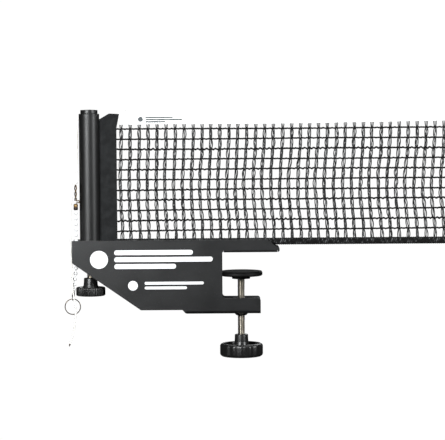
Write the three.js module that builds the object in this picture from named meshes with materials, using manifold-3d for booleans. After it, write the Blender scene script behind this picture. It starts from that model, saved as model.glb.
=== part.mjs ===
// A clamp and post for a table tennis net, with the net's near end and its tension cord.
// Millimetres. X runs from the throat wall of the clamp towards the middle of the table, Y from the
// front plate to the rear one, and Z up from the playing surface. The last lines move the origin to
// the clamp screw's axis, on the face of the pad that sits on the table.
import * as THREE from "three";
import { mergeVertices } from "three/addons/utils/BufferGeometryUtils.js";
import Module from "manifold-3d";

const wasm = await Module();
wasm.setup();

const fit = 0.3; // space between two pieces that touch

// Post
const postDiameter = 22;
const postWall = 1.5;
const postOutreach = 141.5; // throat wall to the post's axis
const postHeight = 148.5; // top of the tube above the table
const capRise = 4.5; // post cap above the tube
const capStem = 3; // post cap inside the tube
const raiseTravel = 6; // the post can be screwed up by this
const lowerTravel = 2; // and down by this
const slotClearance = 0.3; // each side of the sleeve in the post's slot

// Clamp body, one folded sheet
const sheetThickness = 2;
const postSideClearance = 1; // post to each side plate
const foldRadius = 3.5; // outer radius of the folds under the lower jaw
const sideHeight = 13.3; // top edge of the side plates above the table
const guideWall = 1; // guide block beyond the post
const endDepth = 10.6; // height of the outer end below the table
const flatBottomStart = 87.2; // throat wall to where the slanted edge meets the flat bottom edge
const throatHeight = 49;
const lowerJawDepth = 16.7;
const lowerJawReach = 40.7; // throat wall to the end of the lower jaw
const foldedLength = 38.8; // how far the folded web runs outwards of the throat wall
const foldDrop = 4.3; // folded web below the flat bottom edge
const jawReach = 61.2; // throat wall to the tip of the upper jaw
const jawTipHeight = 5.5;
const jawSlope = 9.7; // length of the sloping top edge at the tip
const jawPadThickness = 1.5;
const webPlateThickness = 2; // the plates between the two sides

// Clamp screw, knob and pressure disc
const screwDiameter = 8;
const screwSetback = 20; // throat wall to the clamp screw's axis
const discGap = 21; // table gap as the clamp is shown
const discSideClearance = 0.64; // the disc's edge runs between the side plates, clear by this
const discHubDiameter = 19.5;
const discHeight = 8.2; // pad, rim and hub together
const discRimHeight = 3.9;
const discPadThickness = 0.8;
const tiltClearance = 0.35; // lets the disc rock on its bush
const screwExposed = 59.9; // disc's underside to the top of the knob's hub
const knobDiameter = 46;
const knobRimHeight = 14;
const knobHubWall = 1.15; // round the corners of the insert
const knobHubRise = 9.7; // hub above the rim
const knobLobes = 16;
const lobeDepth = 0.7;
const bossDiameter = 20;
const bossTipWall = 0.7;
const bossDrop = 2.8; // threaded boss below the folded web

// Height screw and knob
const heightKnobDiameter = 31.2;
const heightKnobRim = 9.2;
const heightHubWall = 1.25; // round the corners of the insert
const heightHubTaper = 2; // how much narrower the hub's top is
const heightHubRise = 9.9;
const heightKnobDrop = 3.7; // hub top below the slanted edge
const heightFlutes = 36;
const fluteDepth = 0.5;
const nutWall = 2.25; // screw to the corners of a nut or insert
const nutHeight = 4.5;
const bridgeHalfLength = 8;

// Net
const tapeRise = 3.5; // top of the net above the top of the tube
const netFloor = 6.4; // underside of the bottom hem above the table
const netEnd = 249.5; // throat wall to the far end of this length of net
const tapeHeight = 15;
const tapeThickness = 4;
const hemHeight = 6.6;
const hemThickness = 4;
const meshThickness = 2;
const bindingWidth = 6;
const sleeveThickness = 2.4;
const sleeveReach = 29.2; // post's axis to the sleeve's free edge
const sleeveFlare = 3; // the free edge leans out by this at the tape
const rodDiameter = 6;

// Tension cord, ball chain and ring
const cordDiameter = 1.5;
const cordEntry = 4.2; // cord below the top of the tube
const cordBend = 3; // radius of the cord over the edge of the tube
const ballDiameter = 4;
const ballPitch = 5.9;
const ballSides = 8;
const linkDiameter = 1.1;
const topBallHeight = 42.75;
const ballsInClamp = 10; // from the coupling down to the clamp's lower edge
const ballsHanging = 5;
const chainInset = 4.1; // outer end of the clamp to the chain
const chainClearance = 0.7; // balls to the outer guide block
const chainOffset = 6; // chain in front of the middle plane
const couplingDiameter = 4.7;
const couplingLength = 6.8;
const hookWire = 1.3;
const ringDiameter = 16.5; // middle of the ring's wire
const ringWire = 1.2;

// Sizes that follow from those above
const innerWidth = postDiameter + 2 * postSideClearance;
const outerWidth = innerWidth + 2 * sheetThickness;
const webWidth = innerWidth - 2 * fit;
const discDiameter = 2 * Math.hypot(screwSetback, innerWidth / 2 - discSideClearance);
const postX = -postOutreach;
const guideReach = postDiameter / 2 + guideWall;
const chainX = postX - guideReach - chainClearance - ballDiameter / 2;
const outerEndX = chainX - chainInset;
const lowerJawBottom = -(throatHeight + lowerJawDepth);
const flatBottom = lowerJawBottom + foldDrop;
const screwBore = screwDiameter + 2 * fit;
const nutAcrossCorners = screwDiameter + 2 * nutWall;
const discTop = -discGap;
const discUnderside = discTop - discHeight;
const knobHubTop = discUnderside - screwExposed;
const bridgeBottom = slantedEdgeAt(postX - bridgeHalfLength) + 0.6;
const bridgeTop = bridgeBottom + webPlateThickness;
const nutTop = bridgeTop + fit + nutHeight;
const postBottom = nutTop + lowerTravel + 0.7;
const plugBottom = postBottom + 3;
const heightHubTop = slantedEdgeAt(postX) - heightKnobDrop;
const heightRimTop = heightHubTop - heightHubRise;
const cordHeight = postHeight - cordEntry;
const sleeveSlot = sleeveThickness + 2 * slotClearance;
const sleeveBottom = sideHeight - 1.3;
const netTop = postHeight + tapeRise;
const tapeBottom = netTop - tapeHeight;
const pivotHeight = topBallHeight - (ballsInClamp - 0.5) * ballPitch;

// Height of the slanted lower edge of the side plates at x.
function slantedEdgeAt(x) {
  const along = (x - outerEndX) / (-flatBottomStart - outerEndX);
  return -endDepth + along * (flatBottom + endDepth);
}

// ---------- shapes ----------

function solid(geometry) {
  const bare = new THREE.BufferGeometry();
  bare.setAttribute("position", geometry.getAttribute("position"));
  bare.setIndex(geometry.index);
  const merged = mergeVertices(bare, 1e-4);
  const vertProperties = merged.getAttribute("position").array;
  const triVerts = new Uint32Array(merged.index.array);
  return new wasm.Manifold(new wasm.Mesh({ numProp: 3, vertProperties, triVerts }));
}

function geometryOf(manifold) {
  const mesh = manifold.getMesh();
  const geometry = new THREE.BufferGeometry();
  geometry.setAttribute("position", new THREE.BufferAttribute(mesh.vertProperties, 3));
  geometry.setIndex(new THREE.BufferAttribute(mesh.triVerts, 1));
  return geometry;
}

function join(...geometries) {
  return geometryOf(geometries.map(solid).reduce((a, b) => a.add(b)));
}

function cut(geometry, ...tools) {
  return geometryOf(tools.map(solid).reduce((a, b) => a.subtract(b), solid(geometry)));
}

function box([x0, x1], [y0, y1], [z0, z1]) {
  const geometry = new THREE.BoxGeometry(x1 - x0, y1 - y0, z1 - z0);
  return geometry.translate((x0 + x1) / 2, (y0 + y1) / 2, (z0 + z1) / 2);
}

const across = (width) => [-width / 2, width / 2];

// A solid of revolution about Z. The outline is [radius, z] pairs, anticlockwise, radius to the right.
function turned(outline, sides = 32) {
  const points = outline.map(([radius, z]) => new THREE.Vector2(radius, z));
  return new THREE.LatheGeometry(points, sides).rotateX(Math.PI / 2);
}

function rod(diameter, [z0, z1], sides = 24) {
  const radius = diameter / 2;
  return turned([[0, z0], [radius, z0], [radius, z1], [0, z1]], sides);
}

function tube(outer, inner, [z0, z1], sides = 32) {
  const outline = [[inner / 2, z0], [outer / 2, z0], [outer / 2, z1], [inner / 2, z1], [inner / 2, z0]];
  return turned(outline, sides);
}

function hexNut(z0, z1) {
  return cut(rod(nutAcrossCorners, [z0, z1], 6), rod(screwBore, [z0 - 1, z1 + 1]));
}

// A closed outline whose corners, each [x, z, radius], are rounded by arcs.
function roundedShape(corners, arcSteps = 5) {
  const outline = [];
  corners.forEach(([x, z, radius = 0], i) => {
    const corner = new THREE.Vector2(x, z);
    const before = new THREE.Vector2(...corners.at(i - 1)).sub(corner).normalize();
    const after = new THREE.Vector2(...corners[(i + 1) % corners.length]).sub(corner).normalize();
    if (radius === 0) {
      outline.push(corner);
      return;
    }
    const halfAngle = Math.acos(before.dot(after)) / 2;
    const middle = before.clone().add(after).normalize();
    const centre = corner.clone().addScaledVector(middle, radius / Math.sin(halfAngle));
    const start = corner.clone().addScaledVector(before, radius / Math.tan(halfAngle)).sub(centre);
    const turn = Math.sign(before.cross(after)) * (2 * halfAngle - Math.PI);
    for (let step = 0; step <= arcSteps; step += 1) {
      const spoke = start.clone().rotateAround(new THREE.Vector2(), (turn * step) / arcSteps);
      outline.push(centre.clone().add(spoke));
    }
  });
  return new THREE.Shape(outline);
}

// A flat sheet in the XZ plane, from y0 to y1.
function sheetOf(shape, [y0, y1]) {
  const geometry = new THREE.ExtrudeGeometry(shape, { depth: y1 - y0, bevelEnabled: false });
  return geometry.rotateX(Math.PI / 2).translate(0, y1, 0);
}

// A bar along X, from a section drawn as [y, z, radius] corners.
function barOf(corners, [x0, x1]) {
  const shape = roundedShape(corners);
  const geometry = new THREE.ExtrudeGeometry(shape, { depth: x1 - x0, bevelEnabled: false });
  return geometry.rotateX(Math.PI / 2).rotateZ(Math.PI / 2).translate(x0, 0, 0);
}

// A round wire, cord or tube along a smooth curve.
function wire(points, diameter, steps, sides = 8) {
  const curve = new THREE.CatmullRomCurve3(points.map((point) => new THREE.Vector3(...point)));
  const section = [];
  for (let side = 0; side < sides; side += 1) {
    const angle = (side / sides) * 2 * Math.PI;
    section.push(new THREE.Vector2(Math.cos(angle), Math.sin(angle)).multiplyScalar(diameter / 2));
  }
  return new THREE.ExtrudeGeometry(new THREE.Shape(section), { steps, extrudePath: curve });
}

function ball(diameter, x, y, z, stretch = 1) {
  const geometry = new THREE.SphereGeometry(diameter / 2, ballSides, 6);
  return geometry.rotateX(Math.PI / 2).scale(1, 1, stretch).translate(x, y, z);
}

// A wheel rim about Z whose outline waves in and out.
function waved(diameter, depth, waves, pointsPerWave, [z0, z1], bevel) {
  const outline = [];
  const points = waves * pointsPerWave;
  for (let point = 0; point < points; point += 1) {
    const angle = (point / points) * 2 * Math.PI;
    const radius = diameter / 2 - bevel - (depth * (1 - Math.cos(angle * waves))) / 2;
    outline.push(new THREE.Vector2(Math.cos(angle), Math.sin(angle)).multiplyScalar(radius));
  }
  const depthOfFlat = z1 - z0 - 2 * bevel;
  const options = { depth: depthOfFlat, bevelThickness: bevel, bevelSize: bevel, bevelSegments: 2 };
  return new THREE.ExtrudeGeometry(new THREE.Shape(outline), options).translate(0, 0, z0 + bevel);
}

const finishes = {
  powderCoat: { color: 0x3a3d40, roughness: 0.55, metalness: 0.3 },
  blackTube: { color: 0x1c1d1f, roughness: 0.4, metalness: 0.4 },
  blackPlastic: { color: 0x151515, roughness: 0.45, metalness: 0 },
  guidePlastic: { color: 0x222222, roughness: 0.6, metalness: 0 },
  rubber: { color: 0x0d0d0d, roughness: 0.9, metalness: 0 },
  steel: { color: 0xa9a396, roughness: 0.35, metalness: 1 },
  plainSteel: { color: 0x8c8e90, roughness: 0.45, metalness: 1 },
  brass: { color: 0xb08a4a, roughness: 0.35, metalness: 1 },
  nickel: { color: 0xb9b1a4, roughness: 0.25, metalness: 1 },
  sleeveCanvas: { color: 0x24272a, roughness: 0.95, metalness: 0 },
  netYarn: { color: 0x1b1b1b, roughness: 0.9, metalness: 0 },
  whiteTape: { color: 0xf6f6f4, roughness: 0.85, metalness: 0 },
  whiteCord: { color: 0xe9e4d8, roughness: 0.9, metalness: 0 },
  burntCord: { color: 0x4a3a2e, roughness: 0.7, metalness: 0 },
};

const clamp = new THREE.Group();

// Adds one named piece, turned about Y by `lean`, to the assembly.
function add(name, finish, geometry, position = [0, 0, 0], lean = 0) {
  const mesh = new THREE.Mesh(geometry, new THREE.MeshStandardMaterial(finishes[finish]));
  mesh.name = name;
  mesh.position.set(...position);
  mesh.rotation.y = lean;
  clamp.add(mesh);
}

// ---------- clamp frame ----------

function sidePlate([y0, y1]) {
  const jawUnderside = jawPadThickness + fit;
  const jawPadEnd = jawReach - 2;
  const foldTop = lowerJawBottom + foldRadius;
  const shape = roundedShape([
    [outerEndX, sideHeight, 1],
    [jawReach - jawSlope - 3.7, sideHeight, 1],
    [jawReach - 3.7, jawTipHeight + 0.5, 1],
    [jawReach, jawTipHeight, 2.5],
    [jawReach, 0.3, 1.7],
    [jawPadEnd, 0.3, 0],
    [jawPadEnd, jawUnderside, 0],
    [1.2, jawUnderside, 0],
    [1.2, 0.3, 0],
    [0, 0.3, 0.8],
    [0, -throatHeight, 3],
    [lowerJawReach, -throatHeight, 3],
    [lowerJawReach, foldTop, 0],
    [-foldedLength, foldTop, 0],
    [-foldedLength, lowerJawBottom + 0.8, 0],
    [-foldedLength - 1, lowerJawBottom + 0.8, 0.6],
    [-foldedLength - 4, flatBottom, 1.5],
    [-flatBottomStart, flatBottom, 2],
    [outerEndX, -endDepth, 2],
  ]);
  return sheetOf(shape, [y0, y1]);
}

function foldedWeb() {
  const half = outerWidth / 2;
  const inner = half - sheetThickness;
  const top = lowerJawBottom + foldRadius + 1;
  const floor = lowerJawBottom + sheetThickness;
  const innerRadius = foldRadius - sheetThickness;
  return barOf(
    [
      [-half, lowerJawBottom, foldRadius],
      [half, lowerJawBottom, foldRadius],
      [half, top, 0],
      [inner, top, 0],
      [inner, floor, innerRadius],
      [-inner, floor, innerRadius],
      [-inner, top, 0],
      [-half, top, 0],
    ],
    [-foldedLength, lowerJawReach],
  );
}

function clampBody() {
  const half = outerWidth / 2;
  const front = sidePlate([-half, -half + sheetThickness]);
  const rear = sidePlate([half - sheetThickness, half]);
  const whole = join(front, rear, foldedWeb());
  const bossHole = rod(bossDiameter - 4 + 2 * fit, [lowerJawBottom - 1, lowerJawBottom + sheetThickness + 1]);
  return cut(whole, bossHole.translate(screwSetback, 0, 0));
}
add("clamp_body", "powderCoat", clampBody());

const seatBottom = jawPadThickness + fit;
const seatEnd = jawReach - 5;
add(
  "table_seat_plate",
  "plainSteel",
  box([1.5, seatEnd], across(webWidth), [seatBottom, seatBottom + webPlateThickness]),
);
add("jaw_pad", "rubber", box([1.5, jawReach - 2.3], across(outerWidth), [0, jawPadThickness]));

// The two blocks that the post slides between have hollow faces that follow the tube.
function postGuide(x0, x1) {
  const block = box([x0, x1], across(webWidth), [postBottom - 2.5, sideHeight - 3.8]);
  const hollow = rod(postDiameter + 2 * fit, [postBottom - 5, sideHeight]);
  return cut(block, hollow.translate(postX, 0, 0));
}
add("post_guide_outer", "guidePlastic", postGuide(postX - guideReach, postX - 5.5));
add("post_guide_inner", "guidePlastic", postGuide(postX + 5.5, postX + guideReach));

function baseBridge() {
  const plate = box(across(2 * bridgeHalfLength), across(webWidth), [bridgeBottom, bridgeTop]);
  return cut(plate, rod(screwBore, [bridgeBottom - 1, bridgeTop + 1]));
}
add("base_bridge", "plainSteel", baseBridge(), [postX, 0, 0]);
add("height_nut", "steel", hexNut(bridgeTop + fit, nutTop), [postX, 0, 0]);

// The chain drops into a slot that is open at the outer end, and a ball catches under the plate.
function chainCatch() {
  const ballGap = topBallHeight - 6 * ballPitch + ballPitch / 2;
  const plate = box([outerEndX + 1, postX - guideReach - fit], across(webWidth), [ballGap - 0.6, ballGap + 0.6]);
  const slotWidth = linkDiameter + 2 * fit + 0.3;
  const frontSide = -chainOffset - slotWidth / 2;
  return cut(plate, box([outerEndX, chainX + 1], [frontSide, frontSide + slotWidth], [ballGap - 1, ballGap + 1]));
}
add("chain_catch", "plainSteel", chainCatch());

function clampNutBoss() {
  const top = lowerJawBottom + sheetThickness;
  const neck = bossDiameter / 2 - 2;
  return turned([
    [screwBore / 2, lowerJawBottom - bossDrop],
    [screwBore / 2 + bossTipWall, lowerJawBottom - bossDrop],
    [neck, lowerJawBottom],
    [neck, top + fit],
    [bossDiameter / 2, top + fit],
    [bossDiameter / 2, top + fit + 2],
    [screwBore / 2, top + fit + 6],
    [screwBore / 2, lowerJawBottom - bossDrop],
  ]);
}
add("clamp_nut_boss", "blackPlastic", clampNutBoss(), [screwSetback, 0, 0]);

// ---------- post and net ----------

function postTube() {
  const body = tube(postDiameter, postDiameter - 2 * postWall, [postBottom, postHeight], 40);
  const slot = box([0, postDiameter], across(sleeveSlot), [sleeveBottom - lowerTravel, postHeight + 1]);
  const notchBottom = cordHeight - 1.9;
  const notch = box([-postDiameter, 0], across(cordDiameter + 2 * fit), [notchBottom, postHeight + 1]);
  return cut(body, slot, notch);
}
add("post_tube", "blackTube", postTube(), [postX, 0, 0]);

const plugRadius = postDiameter / 2 - postWall - fit;

function postCap() {
  const top = postHeight + capRise;
  return turned([
    [0, postHeight - capStem],
    [plugRadius, postHeight - capStem],
    [plugRadius, top - 1],
    [plugRadius - 0.8, top - 0.2],
    [0, top],
  ]);
}
add("post_cap", "blackPlastic", postCap(), [postX, 0, 0]);

const plugFloor = plugBottom + 6;

function postFootPlug() {
  const wallInside = nutAcrossCorners / 2 + fit + 0.5;
  return turned([
    [screwBore / 2, plugBottom],
    [plugRadius, plugBottom],
    [plugRadius, plugFloor + 5],
    [wallInside, plugFloor + 5],
    [wallInside, plugFloor],
    [screwBore / 2, plugFloor],
    [screwBore / 2, plugBottom],
  ]);
}
add("post_foot_plug", "guidePlastic", postFootPlug(), [postX, 0, 0]);

const sleeveInner = postX + postDiameter / 2 - postWall - 2.2;
const sleeveEdge = postX + sleeveReach;
const rodX = sleeveInner - rodDiameter / 2 - fit;
const rodTop = cordHeight - cordDiameter / 2 - 1.4;
add("sleeve_rod", "guidePlastic", rod(rodDiameter, [plugFloor + 5 + fit, rodTop], 12), [rodX, 0, 0]);

function netSleeve() {
  const peak = postHeight + 0.2;
  const shape = roundedShape([
    [sleeveInner, peak - 8.3],
    [sleeveInner + 14, peak],
    [sleeveEdge + sleeveFlare, peak - 0.8],
    [sleeveEdge, peak - 15.7],
    [sleeveEdge, netFloor],
    [postX + guideReach + 1.5, netFloor],
    [postX + guideReach + 1.5, sleeveBottom],
    [sleeveInner, sleeveBottom],
  ]);
  return sheetOf(shape, across(sleeveThickness));
}
add("net_sleeve", "sleeveCanvas", netSleeve());

const netStart = sleeveEdge + sleeveFlare + fit;
const bindingStart = netEnd - bindingWidth;
const meshBottom = netFloor + hemHeight + fit;
const meshTop = tapeBottom - fit;
add(
  "net_mesh",
  "netYarn",
  box([sleeveEdge + 1.6, bindingStart - fit], across(meshThickness), [meshBottom, meshTop]),
);
add(
  "net_bottom_hem",
  "netYarn",
  box([sleeveEdge + fit, bindingStart - fit], across(hemThickness), [netFloor, netFloor + hemHeight]),
);
add(
  "net_end_binding",
  "sleeveCanvas",
  box([bindingStart, netEnd], across(sleeveThickness), [netFloor, meshTop]),
);

function topTape() {
  const half = tapeThickness / 2;
  const edge = half - 0.2;
  return barOf(
    [
      [-half, tapeBottom, 0],
      [half, tapeBottom, 0],
      [half, netTop, edge],
      [-half, netTop, edge],
    ],
    [netStart, netEnd],
  );
}
add("net_top_tape", "whiteTape", topTape());

const endKnotSize = 4.5;
add(
  "cord_end_knot",
  "whiteCord",
  ball(endKnotSize, netEnd + fit + endKnotSize / 2, 0, cordHeight),
);

// ---------- height screw ----------

const heightScrewEnd = heightRimTop - heightKnobRim + 3;
add("height_screw", "steel", rod(screwDiameter, [heightScrewEnd, plugFloor + nutHeight - 1]), [postX, 0, 0]);
add("height_screw_locknut", "steel", hexNut(plugFloor + fit, plugFloor + fit + 3), [postX, 0, 0]);
add(
  "height_screw_clip",
  "plainSteel",
  tube(screwDiameter + 4, screwBore, [plugBottom - fit - 1, plugBottom - fit], 20),
  [postX, 0, 0],
);

// A hexagonal insert lies in a pocket of each knob, round the end of its screw.
const insertFloor = heightRimTop + 1;

function knobPocket(bottom, insertBottom, hubTop) {
  const bore = rod(screwBore, [bottom - fit, hubTop + 1]);
  const pocket = rod(nutAcrossCorners + 2 * fit, [insertBottom - fit, insertBottom + nutHeight + fit], 6);
  return join(bore, pocket);
}

function heightKnob() {
  const rimBottom = heightRimTop - heightKnobRim;
  const rim = waved(heightKnobDiameter, fluteDepth, heightFlutes, 2, [rimBottom, heightRimTop], 1);
  const hubRadius = nutAcrossCorners / 2 + heightHubWall;
  const hubTopRadius = hubRadius - heightHubTaper / 2;
  const hub = turned([
    [0, heightRimTop - 2],
    [hubRadius + 0.4, heightRimTop - 2],
    [hubRadius, heightRimTop + 1],
    [hubTopRadius + 0.6, heightHubTop - 1.2],
    [hubTopRadius, heightHubTop],
    [0, heightHubTop],
  ]);
  return cut(join(rim, hub), knobPocket(heightScrewEnd, insertFloor, heightHubTop));
}
add("height_knob", "blackPlastic", heightKnob(), [postX, 0, 0]);
add("height_knob_insert", "brass", hexNut(insertFloor, insertFloor + nutHeight), [postX, 0, 0]);

// ---------- clamp screw and pressure disc ----------

const discPlateTop = discTop - discPadThickness - fit;
const pocketTop = discPlateTop - 0.8;
const pocketRadius = screwBore / 2 + 2.4;
const clipThickness = 0.7;
const clipBottom = pocketTop - tiltClearance - clipThickness;
const bushTop = clipBottom - fit;

add("disc_face_pad", "rubber", rod(discDiameter - 1, [discTop - discPadThickness, discTop], 40), [screwSetback, 0, 0]);

function pressureDisc() {
  const rim = discDiameter / 2;
  return turned(
    [
      [0, pocketTop],
      [pocketRadius, pocketTop],
      [pocketRadius, discUnderside],
      [discHubDiameter / 2, discUnderside],
      [discHubDiameter / 2, discPlateTop - discRimHeight - 1],
      [rim - 1.5, discPlateTop - discRimHeight],
      [rim, discPlateTop - discRimHeight + 1.2],
      [rim, discPlateTop],
      [0, discPlateTop],
    ],
    40,
  );
}
add("pressure_disc", "blackPlastic", pressureDisc(), [screwSetback, 0, 0]);
add(
  "swivel_bush",
  "brass",
  tube(2 * (pocketRadius - fit), screwBore, [discUnderside + 0.2, bushTop]),
  [screwSetback, 0, 0],
);
const knobTop = knobHubTop - knobHubRise;
const clampScrewEnd = knobTop - knobRimHeight + 4;
// The screw's tip is turned down above the bush, and a clip there holds the bush on.
const tipDiameter = screwDiameter - 2;

function clampScrew() {
  const thread = screwDiameter / 2;
  const tip = tipDiameter / 2;
  return turned(
    [
      [0, clampScrewEnd],
      [thread, clampScrewEnd],
      [thread, bushTop],
      [tip, bushTop],
      [tip, pocketTop - tiltClearance],
      [0, pocketTop - tiltClearance],
    ],
    24,
  );
}
add("clamp_screw", "steel", clampScrew(), [screwSetback, 0, 0]);
add(
  "clamp_screw_clip",
  "plainSteel",
  tube(2 * (pocketRadius - 1), tipDiameter + 2 * fit, [clipBottom, clipBottom + clipThickness], 20),
  [screwSetback, 0, 0],
);

function clampKnob() {
  const knobHubDiameter = nutAcrossCorners + 2 * knobHubWall;
  const rimBottom = knobTop - knobRimHeight;
  const rim = waved(knobDiameter, lobeDepth, knobLobes, 4, [rimBottom, knobTop], 2.4);
  const recess = tube(knobDiameter - 9, knobHubDiameter, [knobTop - 4, knobTop + 1]);
  const hub = rod(knobHubDiameter, [knobTop - 6, knobHubTop], 32);
  const dished = cut(rim, recess);
  return cut(join(dished, hub), knobPocket(clampScrewEnd, knobTop - 4, knobHubTop));
}
add("clamp_knob", "blackPlastic", clampKnob(), [screwSetback, 0, 0]);
add("clamp_knob_insert", "brass", hexNut(knobTop - 4, knobTop - 4 + nutHeight), [screwSetback, 0, 0]);

// ---------- tension cord, chain and ring ----------

const hookTop = 73;
const couplingTop = topBallHeight + ballDiameter / 2 + fit + couplingLength + 1;
const knotHeight = 76.2;
const knotSize = 4.2;
const knotX = chainX + 1;
const knotY = -chainOffset + 0.6;

// The cord comes out of the net, crosses the inside of the post and turns down over the tube's edge.
function tensionCord() {
  const outside = postX - postDiameter / 2 - cordDiameter / 2 - 0.65;
  const turnStart = outside + cordBend;
  const turnCentre = cordHeight - cordBend;
  const knotTop = knotHeight + knotSize / 2 + fit;
  return wire(
    [
      [postX + postDiameter / 2 - fit, 0, cordHeight],
      [postX + 4, 0, cordHeight],
      [postX - 4, 0, cordHeight],
      [turnStart, 0, cordHeight],
      [outside + 0.29 * cordBend, 0, turnCentre + 0.71 * cordBend],
      [outside, 0, turnCentre],
      [outside, 0, turnCentre - 4],
      [outside - 0.3, -1.4, 124],
      [outside - 0.7, -3.2, 102],
      [knotX, knotY, knotTop],
    ],
    cordDiameter,
    36,
  );
}
add("tension_cord", "whiteCord", tensionCord());
add("cord_knot", "whiteCord", ball(knotSize, 0, 0, 0, 1.05), [knotX, knotY, knotHeight]);

// Two twisted strands of wire end below in a hook that holds the chain's coupling.
function hookStrand(start) {
  const bottom = couplingTop + 3.2;
  const points = [];
  const turns = 1.25;
  for (let step = 0; step <= 10; step += 1) {
    const angle = start + (step / 10) * turns * 2 * Math.PI;
    const swell = 0.8;
    const z = bottom + ((hookTop - bottom) * step) / 10;
    points.push([swell * Math.cos(angle), swell * Math.sin(angle), z]);
  }
  return wire(points, hookWire, 14, 6);
}

function cordHook() {
  const bottom = couplingTop + 3.2;
  const bend = wire(
    [
      [0, 0, bottom + 1],
      [1.2, 0, bottom - 0.4],
      [3.4, 0, bottom - 0.2],
      [4.2, 0, bottom - 2],
      [2.4, 0, bottom - 2.3],
      [0.2, 0, couplingTop + 0.9],
    ],
    hookWire,
    12,
    6,
  );
  return join(hookStrand(0), hookStrand(Math.PI), bend);
}
add("cord_hook", "brass", cordHook(), [chainX, -chainOffset, 0]);
add(
  "chain_coupling",
  "brass",
  rod(couplingDiameter, [couplingTop - fit - couplingLength, couplingTop - fit], 16),
  [chainX, -chainOffset, 0],
);

// A run of balls on short links, from z = 0 down.
function ballChain(count, firstBall, linkTop, linkBottom) {
  const balls = [];
  for (let i = 0; i < count; i += 1) {
    balls.push(ball(ballDiameter, 0, 0, firstBall - i * ballPitch));
  }
  return join(rod(linkDiameter, [linkBottom, linkTop], 6), ...balls);
}
const lastBallInClamp = topBallHeight - (ballsInClamp - 1) * ballPitch;
add(
  "upper_chain",
  "nickel",
  ballChain(
    ballsInClamp,
    topBallHeight,
    couplingTop - 2 * fit - couplingLength,
    lastBallInClamp - ballPitch / 2 + fit / 2,
  ),
  [chainX, -chainOffset, 0],
);

// The hanging end leans against the height knob's rim, wherever the knob stands.
const knobClearance = Math.sqrt((heightKnobDiameter / 2 + ballDiameter / 2 + fit) ** 2 - chainOffset ** 2);
const leanAside = chainX - (postX - knobClearance);
const chainLean = Math.atan(leanAside / (pivotHeight - heightRimTop - raiseTravel));
const pivot = [chainX, -chainOffset, pivotHeight];
const hangingLength = ballsHanging * ballPitch;
add(
  "lower_chain",
  "nickel",
  ballChain(ballsHanging, -ballPitch / 2, -fit / 2, -hangingLength + 0.8),
  pivot,
  chainLean,
);

const eyeRadius = 1.6;
const eyeWire = 0.9;
const claspLength = 5.8;
const claspTop = -hangingLength + 0.5;
const eyeCentre = claspTop - claspLength - eyeRadius + 0.2;

function ringConnector() {
  const clasp = rod(3, [claspTop - claspLength, claspTop], 12);
  const eye = new THREE.TorusGeometry(eyeRadius, eyeWire / 2, 6, 12);
  return join(clasp, eye.rotateY(Math.PI / 2).translate(0, 0, eyeCentre));
}
add("ring_connector", "nickel", ringConnector(), pivot, chainLean);

const ringTopX = chainX + eyeCentre * Math.sin(chainLean);
const ringTopZ = pivotHeight + eyeCentre * Math.cos(chainLean) - 0.25;
add(
  "pull_ring",
  "nickel",
  new THREE.TorusGeometry(ringDiameter / 2, ringWire / 2, 6, 32).rotateX(Math.PI / 2),
  [ringTopX, -chainOffset, ringTopZ - ringDiameter / 2],
);

// The cord's spare end hangs from the knot, outside the clamp and in front of the ring.
function cordTail() {
  const front = -chainOffset - 3.9;
  return wire(
    [
      [knotX - 2.4, knotY - 0.7, knotHeight - 1],
      [knotX - 3.4, -chainOffset - 1.2, 71],
      [knotX - 4.8, -chainOffset - 2.2, 62],
      [knotX - 6, front + 0.8, 50],
      [knotX - 6.5, front + 0.4, 32],
      [knotX - 6.5, front, 13],
      [knotX - 6, front, -5],
      [knotX - 5.3, front, -20],
      [knotX - 5, front, -36],
      [knotX - 3.8, front, -48],
      [knotX - 2.3, front, -56],
      [knotX - 2, front, -64],
      [knotX - 2.8, front, -73],
      [knotX - 3.8, front, -81],
      [knotX - 5.3, front, -87.5],
      [knotX - 6.8, front, -92.5],
      [knotX - 8.6, front, -97.8],
    ],
    cordDiameter,
    48,
  );
}
add("cord_tail", "whiteCord", cordTail());
add("cord_burnt_tip", "burntCord", ball(2, knotX - 9.6, -chainOffset - 3.9, -99.3));

const group = new THREE.Group();
clamp.position.x = -screwSetback;
group.add(clamp);

export default group;
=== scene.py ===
import math
import random

import bmesh
import bpy
from mathutils import Matrix, Vector


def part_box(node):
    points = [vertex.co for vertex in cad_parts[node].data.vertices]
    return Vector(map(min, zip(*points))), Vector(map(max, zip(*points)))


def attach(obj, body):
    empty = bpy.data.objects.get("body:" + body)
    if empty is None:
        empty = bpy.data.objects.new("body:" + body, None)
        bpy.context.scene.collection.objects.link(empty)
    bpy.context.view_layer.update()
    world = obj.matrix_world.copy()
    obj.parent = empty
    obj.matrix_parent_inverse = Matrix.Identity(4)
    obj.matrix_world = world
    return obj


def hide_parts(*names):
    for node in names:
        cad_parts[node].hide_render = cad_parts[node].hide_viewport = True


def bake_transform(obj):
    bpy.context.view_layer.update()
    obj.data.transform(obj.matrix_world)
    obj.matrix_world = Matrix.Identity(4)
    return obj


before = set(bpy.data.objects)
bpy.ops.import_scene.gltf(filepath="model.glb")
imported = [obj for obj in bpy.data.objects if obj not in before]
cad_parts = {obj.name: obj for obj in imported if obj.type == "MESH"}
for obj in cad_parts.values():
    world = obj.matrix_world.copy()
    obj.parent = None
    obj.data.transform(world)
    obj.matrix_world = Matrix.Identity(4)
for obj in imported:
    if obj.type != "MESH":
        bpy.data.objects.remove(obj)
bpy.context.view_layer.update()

# A table tennis net clamp with its post, the near end of its net and its tension cord.
# Pieces are worked out in millimetres and put into the meshes in metres.
mm = 0.001


def boxOf(node):  # lowest and highest corner of a CAD piece, in millimetres
    low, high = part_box(node)
    return low / mm, high / mm


# Small helpers for meshes.

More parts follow.
